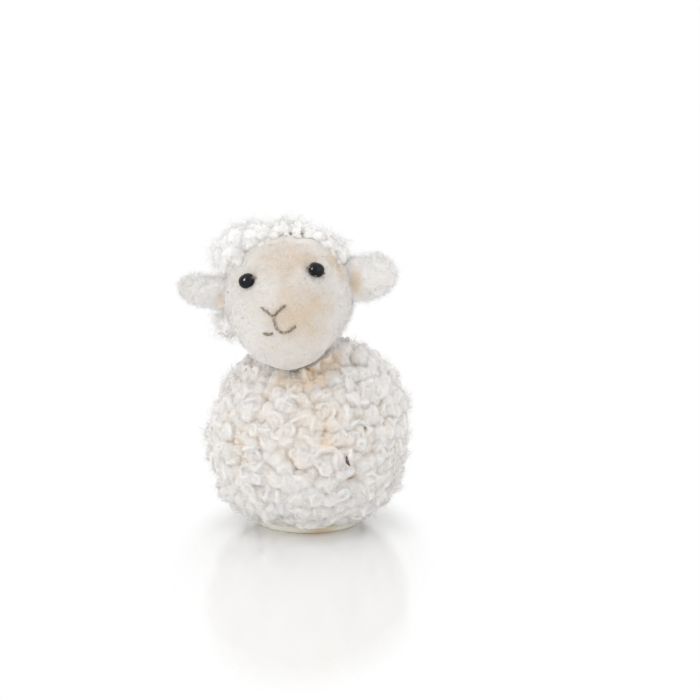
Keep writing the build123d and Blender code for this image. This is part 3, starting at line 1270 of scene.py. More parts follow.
@dataclass
class Body:
    """The woolly ball, its flat foot, the neck stalk and twelve rows of fleece."""

    finishes: Finishes
    head: HeadForm
    core_centre: Spot = (0.0, 0.0, 22.9988)
    core_radius: float = 21.6
    core_margin: float = 0.3
    bed_depth: float = 2.3
    bed_lump: float = 0.8
    bed_grain: float = 0.5
    pad_radius: float = 13.2
    pad_thickness: float = 2.4
    pad_edge: float = 0.9
    pad_gap: float = 0.05
    pad_ragged: float = 0.03
    pad_grain: float = 0.45
    neck_radius: float = 3.95
    neck_waist: float = 0.35
    neck_depth: float = 7.0
    neck_gap: float = 0.6
    filling: float = 0.8
    lowest_ring: float = 37.6
    row_step: float = 12.2
    row_count: int = 12
    row_halves: tuple[float, ...] = (-0.25, 0.25)
    lock_pitch: float = 2.7
    lock_wander: float = 3.4
    lock_slide: float = 0.3
    lock_lean: float = 0.22
    lock_sizes: tuple[float, float] = (0.82, 1.16)
    full_low: float = 0.22
    full_low_at: float = 58.0
    full_low_spread: float = 18.0
    shoulders: tuple[Shoulder, ...] = (
        Shoulder((0.75, -0.12, 0.65), 2.4, 24.0),
        Shoulder((0.46, -0.24, 0.86), 2.2, 12.0),
    )
    least_lift: float = 0.6
    ring_count: int = 80
    ring_sizes: tuple[float, float] = (0.5, 0.85)
    ring_rise: float = -0.15
    arch_place: Spot = (5.2, -24.7, 21.6)
    arch_row: int = 4
    ground: float = 1.9
    ground_share: float = 0.2
    fleece_margin: float = 0.36
    root_margin: float = 0.9
    root_push: float = 0.5
    fibre_count: int = 900
    fibre_reach: float = 3.0
    style: LockStyle = field(default_factory=LockStyle)
    fuzz: FuzzStyle = field(
        default_factory=lambda: FuzzStyle(
            patch_radius=1.6, fibre_count=8, fibre_radius=0.05, rise=0.7, run=1.5
        )
    )
    rows: list[bpy.types.Object] = field(default_factory=list)

    def __post_init__(self) -> None:
        """Take the ball's centre as a vector."""
        self.centre = Vector(self.core_centre)

    def build(self) -> None:
        """Make and settle every piece of the body."""
        self.core()
        self.pad()
        self.neck()
        self.fleece()
        self.loose_fibres()

    def core(self) -> None:
        """The felted ball under the fleece, flat where it meets its pad."""
        bm = bmesh.new()
        bmesh.ops.create_icosphere(bm, subdivisions=5, radius=self.core_radius)
        for vert in bm.verts:
            rough = noise.fractal(vert.co * self.bed_grain, 0.6, 2.0, 3)
            reach = self.core_radius + self.bed_depth + self.bed_lump * rough
            vert.co = self.centre + vert.co.normalized() * reach
            vert.co.z = max(vert.co.z, self.pad_thickness + self.pad_gap)
        comb_points(bm, lambda points: self.head.push_out(points, self.core_margin))
        piece = finish_mesh("body_wool_ball", bm, self.finishes.of(self.finishes.core_felt))
        settle(piece, "body", "core_wool", "body_core")

    def pad(self) -> None:
        """The cream felt foot, spun from its rounded edge."""
        half, flat = self.pad_thickness / 2, self.pad_radius - self.pad_edge
        profile = [(0.0, 0.0), *arc((flat, half), (self.pad_edge, half), -90, 180, 9)]
        profile += [(self.pad_radius * 0.5, self.pad_thickness), (0.0, self.pad_thickness)]
        bm = spun(profile, (0, 0, 1), 72)
        for vert in bm.verts:
            ragged = noise.noise(Vector((vert.co.x, vert.co.y, 0)) * self.pad_grain)
            stretch = 1 + self.pad_ragged * ragged * blend_step(vert.co.xy.length, 6.0, 11.0)
            vert.co.x, vert.co.y = vert.co.x * stretch, vert.co.y * stretch
        piece = finish_mesh("base_felt_pad", bm, self.finishes.of(self.finishes.pad_felt))
        settle(piece, "body", "pad_felt", "base_pad")

    def neck(self) -> None:
        """The felt stalk that carries the head, waisted at the gap."""
        low, high = self.core_radius - self.neck_depth, self.core_radius + self.neck_gap + self.neck_depth
        profile = [(0.0, low)]
        for t in even_shares(13):
            radius = self.neck_radius - self.neck_waist * math.sin(math.pi * t)
            profile.append((radius, low + (high - low) * t))
        profile.append((0.0, high))
        bm = spun(profile, (0, 0, 1), 32)
        stand = standing_frame(self.centre, Vector(self.head.neck), 0.0, 1.0)
        bmesh.ops.transform(bm, matrix=stand, verts=bm.verts)
        piece = finish_mesh("neck_felt_stalk", bm, self.finishes.of(self.finishes.core_felt))
        settle(piece, "body", "core_wool", "neck_stem")

    def comb(self, points: np.ndarray) -> np.ndarray:
        """Keep the fleece off the floor and out of the head's way."""
        moved = self.head.push_out(points, self.fleece_margin)
        moved[:, 2] = np.maximum(moved[:, 2], self.ground + self.ground_share * (points[:, 2] - self.ground))
        return moved

    def clears(self, point: Vector) -> bool:
        """Whether a lock's root is far enough from the head to stand up."""
        moved = self.head.push_out(np.array([point]), self.root_margin)
        return float(np.linalg.norm(moved[0] - np.array(point))) < self.root_push

    def fleece(self) -> None:
        """Plant the locks round the body, felt them together and part them into rows."""
        locks = self.style.kit("body_lock", 100, 4)
        fleece = Fleece(1000, self.centre, self.core_radius + self.filling)
        for row in range(self.row_count):
            self.plant_row(fleece, row, locks)
        out = (Vector(self.arch_place) - self.centre).normalized()
        arch = self.style.arch("body_arch_lock", 90)
        stand = standing_frame(self.centre + out * self.core_radius, out, 0.0, 1.0)
        fleece.root(arch, stand, self.arch_row, self.style.curl_height)
        self.plant_rings(fleece, arch)
        names = [f"body_fleece_row_{row + 1:02d}" for row in range(self.row_count)]
        self.rows = fleece.part(names, self.finishes.of(self.finishes.body_fleece), Felting(), self.comb)
        for row, piece in enumerate(self.rows, 1):
            settle(piece, "body", "body_fleece", f"body_curls_row_{row:02d}")

    def plant_row(self, fleece: Fleece, row: int, locks: list[bpy.types.Mesh]) -> None:
        """Plant one row of locks round the body.

        Args:
            fleece: The fleece that takes them.
            row: The row's number from the foot, starting at 0.
            locks: The lock templates.
        """
        rng = fleece.rng
        for half in self.row_halves:
            polar = self.lowest_ring + (row + half) * self.row_step
            if polar >= 180:
                continue
            ring = 2 * math.pi * self.core_radius * math.sin(math.radians(polar))
            count = max(1, round(ring / self.lock_pitch))
            for i in range(count):
                down = math.radians(polar + rng.uniform(-self.lock_wander, self.lock_wander))
                slide = rng.uniform(-self.lock_slide, self.lock_slide)
                about = math.tau * (i + slide + 0.5 * (half > 0)) / count
                wide = math.sin(down)
                normal = Vector((wide * math.cos(about), wide * math.sin(about), -math.cos(down)))
                root = self.centre + normal * self.core_radius
                if not self.clears(root):
                    continue
                stout = 1 + self.full_low * bell(math.degrees(down) - self.full_low_at, self.full_low_spread)
                lift = self.lift(normal)
                lean = (normal + chance_step(rng, self.lock_lean)).normalized()
                for height in (0.0, lift) if lift > self.least_lift else (0.0,):
                    spin, size = rng.uniform(0, math.tau), stout * rng.uniform(*self.lock_sizes)
                    stand = standing_frame(root + normal * height, lean, spin, size)
                    fleece.root(rng.choice(locks), stand, row, self.style.curl_height)

    def lift(self, normal: Vector) -> float:
        """How high a second layer of locks stands in a direction."""
        lifts = []
        for part in self.shoulders:
            lifts.append(part.lift * bell(degrees_between(normal, Vector(part.way)), part.spread))
        return sum(lifts)

    def plant_rings(self, fleece: Fleece, arch: bpy.types.Mesh) -> None:
        """Scatter small ring curls that lie on top of the other locks.

        Args:
            fleece: The fleece that takes them.
            arch: The arched lock that each is a smaller copy of.
        """
        for normal in spread_directions(self.ring_count):
            size, turn = fleece.rng.uniform(*self.ring_sizes), fleece.rng.uniform(0, math.tau)
            row = round((math.degrees(math.acos(-normal.z)) - self.lowest_ring) / self.row_step)
            if not 0 <= row < self.row_count or not self.clears(self.centre + normal * self.core_radius):
                continue
            foot = self.core_radius + self.ring_rise + self.style.top * (1 - size)
            stand = standing_frame(self.centre + normal * foot, normal, turn, size)
            fleece.root(arch, stand, row, self.style.curl_height)

    def loose_fibres(self) -> None:
        """Fine fibres that stand off the curls all round."""
        planter = Planter(1500)
        tufts = self.fuzz.kit("body_tuft", 700)
        planter.dress(self.rows, tufts, self.fibre_count, self.centre, self.core_radius + self.fibre_reach)
        piece = planter.finish("body_fleece_fibres", self.finishes.of(self.finishes.fleece_fibre), self.comb)
        settle(piece, "body", "body_fleece")

    def touch(self, place: Vector) -> Vector:
        """The outermost point of the fleece on the way out to a place, in millimetres."""
        out = (place - self.centre).normalized()
        start = (self.centre + out * self.core_radius * 2) * MM
        hits = [piece.ray_cast(start, -out) for piece in self.rows]
        return max((hit[1] / MM for hit in hits if hit[0]), key=lambda point: (point - self.centre).length)


@dataclass
class Head:
    """The felt head with its surface fibres and its five rows of cap curls."""

    finishes: Finishes
    form: HeadForm
    body: Body
    lump: float = 0.28
    cap_place: Angles = (180.0, 52.0)
    cap_step: float = 16.47
    cap_rows: int = 5
    cap_halves: tuple[float, ...] = (-0.25, 0.25)
    first_halves: tuple[float, ...] = (0.02, 0.25, 0.5)
    last_halves: tuple[float, ...] = (-0.25, 0.25, 0.7)
    cap_depth: float = 1.2
    lock_pitch: float = 2.8
    lock_wander: float = 2.5
    lock_slide: float = 0.3
    lock_lean: float = 0.3
    lock_sizes: tuple[float, float] = (0.8, 1.2)
    hairline: Angles = (42.0, 70.0)
    hairline_width: float = 100.0
    hairline_fade: float = 40.0
    hairline_thin: float = 0.5
    hairline_sink: float = 1.0
    hairline_flat: float = 0.4
    temple: Angles = (42.0, 84.0)
    temple_low: float = 22.0
    bare_azimuth: Angles = (-100.0, -48.0)
    bare_top: float = 36.0
    ear_clear: Angles = (17.0, 28.0)
    tuft_place: Angles = (-78.0, 40.0)
    tuft_spread: float = 34.0
    tuft_gain: float = 0.35
    tuft_lift: float = 3.1
    least_lift: float = 0.6
    crown_place: Angles = (45.0, 68.0)
    crown_spread: float = 34.0
    crown_loss: float = 0.45
    low_locks: tuple[Angles, ...] = (
        (-126.0, 0.0),
        (-119.0, -6.0),
        (-112.0, -10.0),
        (-105.0, -12.0),
        (-99.0, -17.0),
        (-107.0, -19.0),
        (-115.0, -16.0),
    )
    low_size: float = 1.1
    low_lift: float = 1.6
    eye_places: tuple[Angles, ...] = ((-29.5, 23.5), (39.5, 24.0))
    ear_places: tuple[Angles, ...] = ((-92.0, 10.0), (92.0, 10.0))
    fuzz_count: int = 900
    fuzz_sizes: tuple[float, float] = (0.8, 1.2)
    fuzz_from_cap: float = 64.0
    fuzz_from_eye: float = 10.0
    fuzz_from_body: float = 30.5
    wisp_count: int = 520
    wisp_reach: float = 0.2
    style: LockStyle = field(
        default_factory=lambda: LockStyle(
            curl_radius=1.6,
            curl_height=1.2,
            bundle_radius=0.4,
            strand_radius=0.5,
            turns=1.1,
            spread=3.4,
            sink=1.0,
            wildness=0.25,
            rings=14,
            mound_width=2.3,
            mound_height=1.6,
            mound_centre=0.8,
        )
    )
    edge_style: LockStyle = field(
        default_factory=lambda: LockStyle(
            curl_radius=1.2,
            curl_height=0.3,
            bundle_radius=0.3,
            strand_radius=0.4,
            turns=1.1,
            spread=2.6,
            sink=1.0,
            wildness=0.2,
            rings=14,
            mound_width=2.3,
            mound_height=1.3,
            mound_centre=0.6,
        )
    )
    felting: Felting = Felting(rounds=7, ripple=0.17)
    fuzz: FuzzStyle = field(
        default_factory=lambda: FuzzStyle(
            patch_radius=1.5, fibre_count=10, fibre_radius=0.034, rise=0.7, run=1.5
        )
    )
    wisp: FuzzStyle = field(
        default_factory=lambda: FuzzStyle(
            patch_radius=1.8, fibre_count=8, fibre_radius=0.045, rise=1.15, run=2.2, rings=6
        )
    )
    rows: list[bpy.types.Object] = field(default_factory=list)

    def __post_init__(self) -> None:
        """Work out the directions of the cap, its tuft, its crown, the eyes and the ears."""
        self.cap_middle = self.form.direction(*self.cap_place)
        self.tuft = self.form.direction(*self.tuft_place)
        self.crown = self.form.direction(*self.crown_place)
        self.eyes = [self.form.direction(*place) for place in self.eye_places]
        self.ears = [self.form.direction(*place) for place in self.ear_places]

    def build(self) -> None:
        """Make and settle every piece of the head but its eyes, ears and stitches."""
        self.felt()
        self.surface_fibres()
        self.cap()
        self.loose_wisps()

    def relief(self, direction: Vector) -> float:
        """How far the felt stands above the plain round cone, in millimetres.

        Args:
            direction: The place, as a direction from the head's centre.

        Returns:
            The height, below 0 in a hollow.
        """
        azimuth, elevation = self.form.angles(direction)
        ridge = 0.45 * bell(azimuth + 2, 11)
        ridge *= blend_step(elevation, -8, 6) * blend_step(34 - elevation, 0, 16)
        cheeks = 0.35 * (bell(azimuth - 40, 18) + bell(azimuth + 40, 18)) * bell(elevation + 16, 16)
        sockets = sum(-0.45 * bell(math.hypot(azimuth - a, elevation - e), 9.5) for a, e in self.eye_places)
        brow = 0.3 * bell(elevation - 40, 10) * bell(azimuth, 55)
        rough = noise.fractal(direction * 5.5, 0.7, 2.0, 3) * self.lump
        calm = 1 - 0.75 * bell(math.hypot(azimuth + 2, elevation + 14), 22)
        return (ridge + cheeks + brow) * calm + sockets + rough * (0.4 + 0.6 * calm)

    def felt(self) -> None:
        """The felt head, an icosphere drawn out to the round cone."""
        bm = bmesh.new()
        bmesh.ops.create_icosphere(bm, subdivisions=6, radius=1.0)
        for vert in bm.verts:
            direction = vert.co.normalized()
            point, normal = self.form.surface(direction)
            vert.co = point + normal * self.relief(direction)
        every_way = {"use_axis_x": True, "use_axis_y": True, "use_axis_z": True}
        bmesh.ops.smooth_vert(bm, verts=bm.verts, factor=0.5, **every_way)
        piece = finish_mesh("head_wool_felt", bm, self.finishes.of(self.finishes.face_felt))
        settle(piece, "head", "face_felt", "head_felt")

    def surface_fibres(self) -> None:
        """Loose fibres over the bare felt of the face, the cheeks and the chin."""
        planter = Planter(2000)
        rng = planter.rng
        tufts = self.fuzz.kit("face_tuft", 500)
        for direction in spread_directions(self.fuzz_count):
            under_cap = degrees_between(direction, self.cap_middle) < self.fuzz_from_cap
            by_eye = min(degrees_between(direction, eye) for eye in self.eyes) < self.fuzz_from_eye
            point, normal = self.form.surface(direction)
            by_body = (point - self.body.centre).length < self.fuzz_from_body
            if under_cap or by_eye or by_body:
                continue
            spin, size = rng.uniform(0, math.tau), rng.uniform(*self.fuzz_sizes)
            stand = standing_frame(point + normal * self.relief(direction), normal, spin, size)
            planter.plant(rng.choice(tufts), stand)
        piece = planter.finish("head_surface_fibres", self.finishes.of(self.finishes.felt_fibre))
        settle(piece, "head", "face_felt")

    def fluff(self, direction: Vector) -> float:
        """How much taller the cap stands, most over the right temple and least on the crown."""
        gain = self.tuft_gain * bell(degrees_between(direction, self.tuft), self.tuft_spread)
        return 1 + gain - self.crown_loss * bell(degrees_between(direction, self.crown), self.crown_spread)

    def cap(self) -> None:
        """Plant the soft cap, felt it together and part it into rings."""
        locks = self.style.kit("cap_lock", 300, 4)
        edges = self.edge_style.kit("hairline_lock", 340, 3)
        fleece = Fleece(3000, self.form.origin, self.form.cranium_radius - self.cap_depth)
        for row in range(self.cap_rows):
            self.plant_row(fleece, row, locks, edges)
        for place in self.low_locks:
            point, normal = self.form.surface(self.form.direction(*place))
            for height in (0.0, self.low_lift):
                spin = fleece.rng.uniform(0, math.tau)
                stand = standing_frame(point + normal * height, normal, spin, self.low_size)
                fleece.root(fleece.rng.choice(locks), stand, self.cap_rows - 1, self.style.curl_height)
        names = [f"head_fleece_row_{row + 1}" for row in range(self.cap_rows)]
        self.rows = fleece.part(names, self.finishes.of(self.finishes.cap_fleece), self.felting)
        for row, piece in enumerate(self.rows, 1):
            settle(piece, "head", "cap_fleece", f"head_curls_row_{row}")

    def plant_row(
        self, fleece: Fleece, row: int, locks: list[bpy.types.Mesh], edges: list[bpy.types.Mesh]
    ) -> None:
        """Plant one ring of the soft cap.

        Args:
            fleece: The fleece that takes it.
            row: The ring's number from the middle of the cap, starting at 0.
            locks: The lock templates.
            edges: The flatter ones for the hairline.
        """
        rng = fleece.rng
        aside = self.cap_middle.orthogonal().normalized()
        halves = {0: self.first_halves, self.cap_rows - 1: self.last_halves}.get(row, self.cap_halves)
        for half in halves:
            polar = (row + half) * self.cap_step
            ring = 2 * math.pi * self.form.cranium_radius * math.sin(math.radians(polar))
            count = max(1, round(ring / self.lock_pitch))
            for i in range(count):
                lean_out = math.radians(polar + rng.uniform(-self.lock_wander, self.lock_wander))
                slide = rng.uniform(-self.lock_slide, self.lock_slide)
                spoke = Quaternion(self.cap_middle, math.tau * (i + slide + 0.5 * (half > 0)) / count) @ aside
                direction = (self.cap_middle * math.cos(lean_out) + spoke * math.sin(lean_out)).normalized()
                if not self.takes_lock(direction, outermost=half > 0.5):
                    continue
                point, normal = self.form.surface(direction)
                lean = (normal + chance_step(rng, self.lock_lean)).normalized()
                near_ear = min(degrees_between(direction, ear) for ear in self.ears)
                size = rng.uniform(*self.lock_sizes) * (0.7 + 0.3 * blend_step(near_ear, *self.ear_clear))
                size *= self.fluff(direction)
                azimuth = self.form.angles(direction)[0]
                edge = blend_step(polar, *self.hairline)
                edge *= blend_step(self.hairline_width - abs(azimuth), 0, self.hairline_fade)
                size *= 1 - self.hairline_thin * edge
                root = point - normal * self.hairline_sink * edge
                lift = self.tuft_lift * bell(degrees_between(direction, self.tuft), self.tuft_spread)
                lift *= 1 - 0.6 * edge
                for height in (0.0, lift) if lift > self.least_lift else (0.0,):
                    stand = standing_frame(root + normal * height, lean, rng.uniform(0, math.tau), size)
                    lock = rng.choice(edges if edge > self.hairline_flat else locks)
                    fleece.root(lock, stand, row, self.style.curl_height)

    def takes_lock(self, direction: Vector, outermost: bool) -> bool:
        """Whether a lock of the cap grows in a direction.

        Args:
            direction: The place, as a direction from the head's centre.
            outermost: Whether its ring is the one that grows at the temples alone.

        Returns:
            False beside the ears, on the bare right cheek and past the hairline.
        """
        azimuth, elevation = self.form.angles(direction)
        near_ear = min(degrees_between(direction, ear) for ear in self.ears) < self.ear_clear[0]
        at_temple = self.temple[0] < abs(azimuth) < self.temple[1] and elevation > self.temple_low
        bare = self.bare_azimuth[0] < azimuth < self.bare_azimuth[1] and elevation < self.bare_top
        return not near_ear and not bare and (at_temple or not outermost)

    def loose_wisps(self) -> None:
        """Fine wisps that stand off the cap."""
        planter = Planter(3500)
        tufts = self.wisp.kit("cap_wisp", 800)
        reach = self.form.cranium_radius + self.wisp_reach
        planter.dress(self.rows, tufts, self.wisp_count, self.form.origin, reach)
        piece = planter.finish("head_cap_wisps", self.finishes.of(self.finishes.fleece_fibre))
        settle(piece, "head", "cap_fleece")


@dataclass
class Ear:
    """One felt ear, a cupped leaf needled on at its root."""

    finishes: Finishes
    form: HeadForm
    side: Side
    twist: float
    length: float
    half_width: float
    root_half_width: float
    belly: float
    sway: float
    root_shift: float = 0.0
    root_azimuth: float = 92.0
    root_elevation: float = 10.0
    rise: float = 12.0
    thickness: float = 2.6
    sunk: float = 1.8
    bend_end: float = 1.2
    cup: float = 0.9
    rough: float = 0.03
    rough_grain: float = 3.5
    fibre_count: int = 190
    fibre_from: float = 0.4
    fibre_sizes: tuple[float, float] = (0.7, 1.1)
    fuzz: FuzzStyle = field(
        default_factory=lambda: FuzzStyle(
            patch_radius=1.4, fibre_count=12, fibre_radius=0.034, rise=0.7, run=1.3
        )
    )

    def __post_init__(self) -> None:
        """Work out the ear's frame on the head."""
        azimuth = self.side.value * self.root_azimuth
        outward = self.form.direction(azimuth, self.rise)
        forward = self.form.direction(0, 0)
        level = (forward - outward * forward.dot(outward)).normalized()
        facing = Quaternion(outward, math.radians(self.twist)) @ level
        root = self.form.origin + self.form.direction(azimuth, self.root_elevation) * self.form.cranium_radius
        self.frame = axes_frame(outward, facing.cross(outward), facing, root)

    def build(self) -> None:
        """Make the leaf and its loose fibres, and hide the ear node that the leaf stands for."""
        for piece, nodes in ((self.leaf(), (f"{self.side.word}_ear",)), (self.fibres(), ())):
            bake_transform(piece)
            if nodes:
                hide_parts(*nodes)
            faces = len(piece.data.polygons)
            LOG.info("%s between head and %s ear: %d faces", piece.name, self.side.word, faces)

    def section(self, share: float) -> tuple[float, float, float]:
        """Half width, half thickness and backward cup of the leaf at a share of its length."""
        tip = math.sqrt(max(0.0, 1 - max(0.0, (share - self.belly) / (1 - self.belly)) ** 2.6))
        root = math.sqrt(max(0.0, 1 - (1 - min(1.0, share / 0.06)) ** 2))
        gain = (self.half_width - self.root_half_width) * blend_step(share, 0.0, self.belly)
        thick = self.thickness / 2 * (1 - 0.2 * share) * math.sqrt(tip) * root
        cup = self.cup * math.sin(math.pi * min(1.0, share * 0.9))
        return (self.root_half_width + gain) * tip * root, thick, cup

    def place(self, ball: Vector) -> Vector:
        """Map a point of the unit ball to the leaf."""
        share = (ball.x + 1) / 2
        width, thick, cup = self.section(share)
        reach = math.sqrt(max(1e-9, 1 - min(1.0, ball.x**2)))
        across, through = ball.y / reach, ball.z / reach
        y = across * width + self.root_shift + self.sway * share * share
        z = through * thick * (1 - 0.15 * across * across) + cup * (across * across - 0.6)
        return Vector((-self.sunk + share * (self.length + self.sunk), y, z))

    def normal(self, ball: Vector) -> Vector:
        """The way out of the leaf at a point of the unit ball, or no length where it can't be told."""
        step, here = 0.02, self.place(ball)
        along = self.place((ball + Vector((step, 0, 0))).normalized()) - here
        across = self.place((ball + Vector((0, step, step * 0.6))).normalized()) - here
        normal = along.cross(across)
        if normal.length < 1e-9:
            return Vector()
        normal.normalize()
        return -normal if normal.dot(Vector((0, ball.y, ball.z))) < 0 else normal

    def leaf(self) -> bpy.types.Object:
        """The felt leaf."""
        bm = bmesh.new()
        bmesh.ops.create_icosphere(bm, subdivisions=5, radius=1.0)
        shift = Vector((self.side.value * 9, 0, 0))
        for vert in bm.verts:
            rough = 1 + self.rough * noise.fractal(vert.co * self.rough_grain + shift, 0.7, 2.0, 3)
            spot = self.place(vert.co.normalized())
            vert.co = self.frame @ Vector((spot.x * (0.6 + 0.4 * rough), spot.y * rough, spot.z * rough))
        bmesh.ops.recalc_face_normals(bm, faces=bm.faces)
        return finish_mesh(f"{self.side.word}_ear_felt", bm, self.finishes.of(self.finishes.ear_felt))

    def fibres(self) -> bpy.types.Object:
        """Loose fibres over the leaf."""
        planter = Planter(4000 + self.side.value)
        tufts = self.fuzz.kit(f"{self.side.word}_ear_tuft", 600, 5)
        for ball in spread_directions(self.fibre_count):
            here, normal = self.place(ball), self.normal(ball)
            if here.x < self.fibre_from or not normal.length:
                continue
            up = (self.frame.to_3x3() @ normal).normalized()
            planter.scatter(tufts, self.frame @ here, up, self.fibre_sizes)
        return planter.finish(f"{self.side.word}_ear_fibres", self.finishes.of(self.finishes.felt_fibre))


@dataclass(frozen=True)
class TwistedThread:
    """A thread of a few plies that are twisted round one line."""

    radius: float
    plies: int
    turns: float
    ply_share: float = 0.56

    def along(
        self, name: str, spine: Sequence[Vector], place: Matrix, finishes: Finishes
    ) -> bpy.types.Object:
        """Lay the thread along a line.

        Args:
            name: The piece's name.
            spine: The thread's centre line.
            place: From the spine to the model, in millimetres.
            finishes: Where its material comes from.

        Returns:
            The finished object.
        """
        bm = mapped_bmesh()
        frames = carried_frames(spine)
        for ply in range(self.plies):
            path = []
            for t, turned in zip(even_shares(len(frames)), frames):
                angle = math.tau * (ply / self.plies + self.turns * t)
                path.append(turned @ (Vector((math.cos(angle), math.sin(angle), 0)) * self.radius * 0.5))
            tone = 0.15 + 0.7 * ply / max(1, self.plies - 1)
            add_strand(bm, path, [self.radius * self.ply_share] * len(path), 6, tone)
        bmesh.ops.recalc_face_normals(bm, faces=bm.faces)
        bmesh.ops.transform(bm, matrix=place, verts=bm.verts)
        return finish_mesh(name, bm, finishes.of(finishes.thread))


@dataclass
class Eye:
    """One black glass bead with the thread that holds it."""

    finishes: Finishes
    form: HeadForm
    side: Side
    place: Angles
    slant: float
    radius: float = 1.76
    length: float = 3.65
    hole_radius: float = 0.6
    hole_edge: float = 0.2
    edge_run: float = 1.6
    edge_rise: float = 1.08
    proud: float = 0.5
    cord: TwistedThread = TwistedThread(0.3, 2, 2.0)
    thread_bend: float = 0.55
    thread_depth: float = 4.0

    def __post_init__(self) -> None:
        """Work out the bead's frame, with x along its hole."""
        point, normal = self.form.surface(self.form.direction(*self.place))
        level = self.form.z.cross(normal).normalized()
        along = Quaternion(normal, math.radians(self.slant)) @ level
        self.frame = axes_frame(along, normal.cross(along), normal, point + normal * self.proud)

    def build(self) -> None:
        """Make and settle the bead and its thread."""
        settle(self.bead(), "head", "black_bead", f"{self.side.word}_eye_bead")
        settle(self.thread(), "head", "brown_thread", f"{self.side.word}_eye_thread")

    def bead(self) -> bpy.types.Object:
        """The bead, spun from its rounded section round the hole."""
        half, run, rise, inner = self.length / 2, self.edge_run, self.edge_rise, self.hole_edge
        outside, inside = self.radius - rise, self.hole_radius + inner
        section = arc((half - run, outside), (run, rise), 0, 90, 9)
        section += arc((run - half, outside), (run, rise), 90, 90, 9)
        section += arc((inner - half, inside), (inner, inner), 180, 90, 4)
        section += arc((half - inner, inside), (inner, inner), 270, 90, 4)
        bm = spun(section, (1, 0, 0), 48, closed=True)
        bmesh.ops.transform(bm, matrix=self.frame, verts=bm.verts)
        return finish_mesh(f"{self.side.word}_eye_glass", bm, self.finishes.of(self.finishes.bead))

    def thread(self) -> bpy.types.Object:
        """Two twisted plies through the hole and down into the felt at both ends."""
        run, bend = self.length / 2, self.thread_bend
        line = [(-run - bend, -bend - self.thread_depth)]
        line += arc((-run, -bend), (bend, bend), 180, -90, 7)
        line += [(-run / 2, 0.0), (0.0, 0.0), (run / 2, 0.0)]
        line += arc((run, -bend), (bend, bend), 90, -90, 7)
        line.append((run + bend, -bend - self.thread_depth))
        spine = [Vector((x, 0, z)) for x, z in line]
        return self.cord.along(f"{self.side.word}_eye_stitch", spine, self.frame, self.finishes)


@dataclass
class Stitching:
    """Five brown stitches: the nose, the line below it and the smile."""

    finishes: Finishes
    form: HeadForm
    floss: TwistedThread = TwistedThread(0.36, 3, 2.5)
    lift: float = 0.17
    depth: float = 2.0
    courses: dict[str, tuple[Angles, Angles, Angles]] = field(
        default_factory=lambda: {
            "nose_stitch_right": ((-22.6, 26.4), (-13.3, 19.4), (-6.8, 14.3)),
            "nose_stitch_left": ((11.1, 25.2), (2.0, 19.9), (-5.2, 14.6)),
            "philtrum_stitch": ((-6.0, 13.9), (-5.8, 6.9), (-4.0, -1.2)),
            "mouth_stitch_right": ((-21.5, -3.9), (-15.9, -5.7), (-9.8, -5.2)),
            "mouth_stitch_left": ((-4.4, -0.4), (5.2, -6.6), (18.9, 0.8)),
        }
    )

    def build(self) -> None:
        """Make and settle every stitch."""
        for node, course in self.courses.items():
            piece = self.floss.along(f"{node}_thread", self.spine(course), Matrix(), self.finishes)
            settle(piece, "head", "brown_thread", node)

    def spine(self, course: Sequence[Angles]) -> list[Vector]:
        """A line over the felt that dives in at both ends.

        Args:
            course: Angles of the start, the middle and the end, from the muzzle's centre.

        Returns:
            The points of the line.
        """
        first, middle, last = (self.form.direction(*pair) for pair in course)
        bow = middle * 2 - (first + last) * 0.5
        centre, height = self.form.muzzle_centre, self.form.muzzle_radius + self.lift
        points = []
        for t in even_shares(15):
            way = (first * (1 - t) ** 2 + bow * 2 * t * (1 - t) + last * t * t).normalized()
            dive = (1 - blend_step(min(t, 1 - t), -0.06, 0.07)) ** 2
            points.append(centre + way * (height - self.depth * dive))
        for end in (0, -1):
            points[end] = centre + (points[end] - centre).normalized() * (height - self.depth)
        return points


@dataclass
class Flecks:
    """A stray dark fibre caught on the cheek, and a dark fleck of painted shade in a crevice of the body
    fleece.
    """

    finishes: Finishes
    body: Body
    bow: float = 0.12

    def build(self) -> None:
        """Make and settle both flecks."""
        bpy.context.view_layer.update()
        # Painted shade: the body's dark fleck sits in a crevice of the fleece, where there is only shade.
        caught = self.body.touch(Vector((10.0, -23.5, 21.3)))
        body = self.fleck("body_crevice_shade_fleck", caught, Vector((0.35, 0.15, -1.0)), 2.8, 0.42)
        settle(body, "body", "brown_thread")
        cheek = Vector((-19.35, -15.0, 61.75))
        face = self.fleck("face_dark_fibre", cheek, Vector((-0.3, 0.3, 1.0)), 0.7, 0.22)
        settle(face, "head", "brown_thread")

    def fleck(
        self, name: str, middle: Vector, heading: Vector, length: float, radius: float
    ) -> bpy.types.Object:
        """One short curved dark fleck, shaped like a fibre.

        Args:
            name: The piece's name.
            middle: Its middle, in millimetres.
            heading: The way that it lies.
            length: How long it is.
            radius: How thick it is in the middle.

        Returns:
            The finished object.
        """
        bm = mapped_bmesh()
        along = heading.normalized()
        bow = along.orthogonal().normalized() * length * self.bow
        path, radii = [], []
        for t in even_shares(9):
            path.append(middle + along * length * (t - 0.5) + bow * math.sin(math.pi * t))
            radii.append(radius * (0.25 + 0.75 * math.sin(math.pi * t)))
        add_strand(bm, path, radii, 6, tone=0.4, top=60.0)
        bmesh.ops.recalc_face_normals(bm, faces=bm.faces)
        return finish_mesh(name, bm, self.finishes.of(self.finishes.fleck))


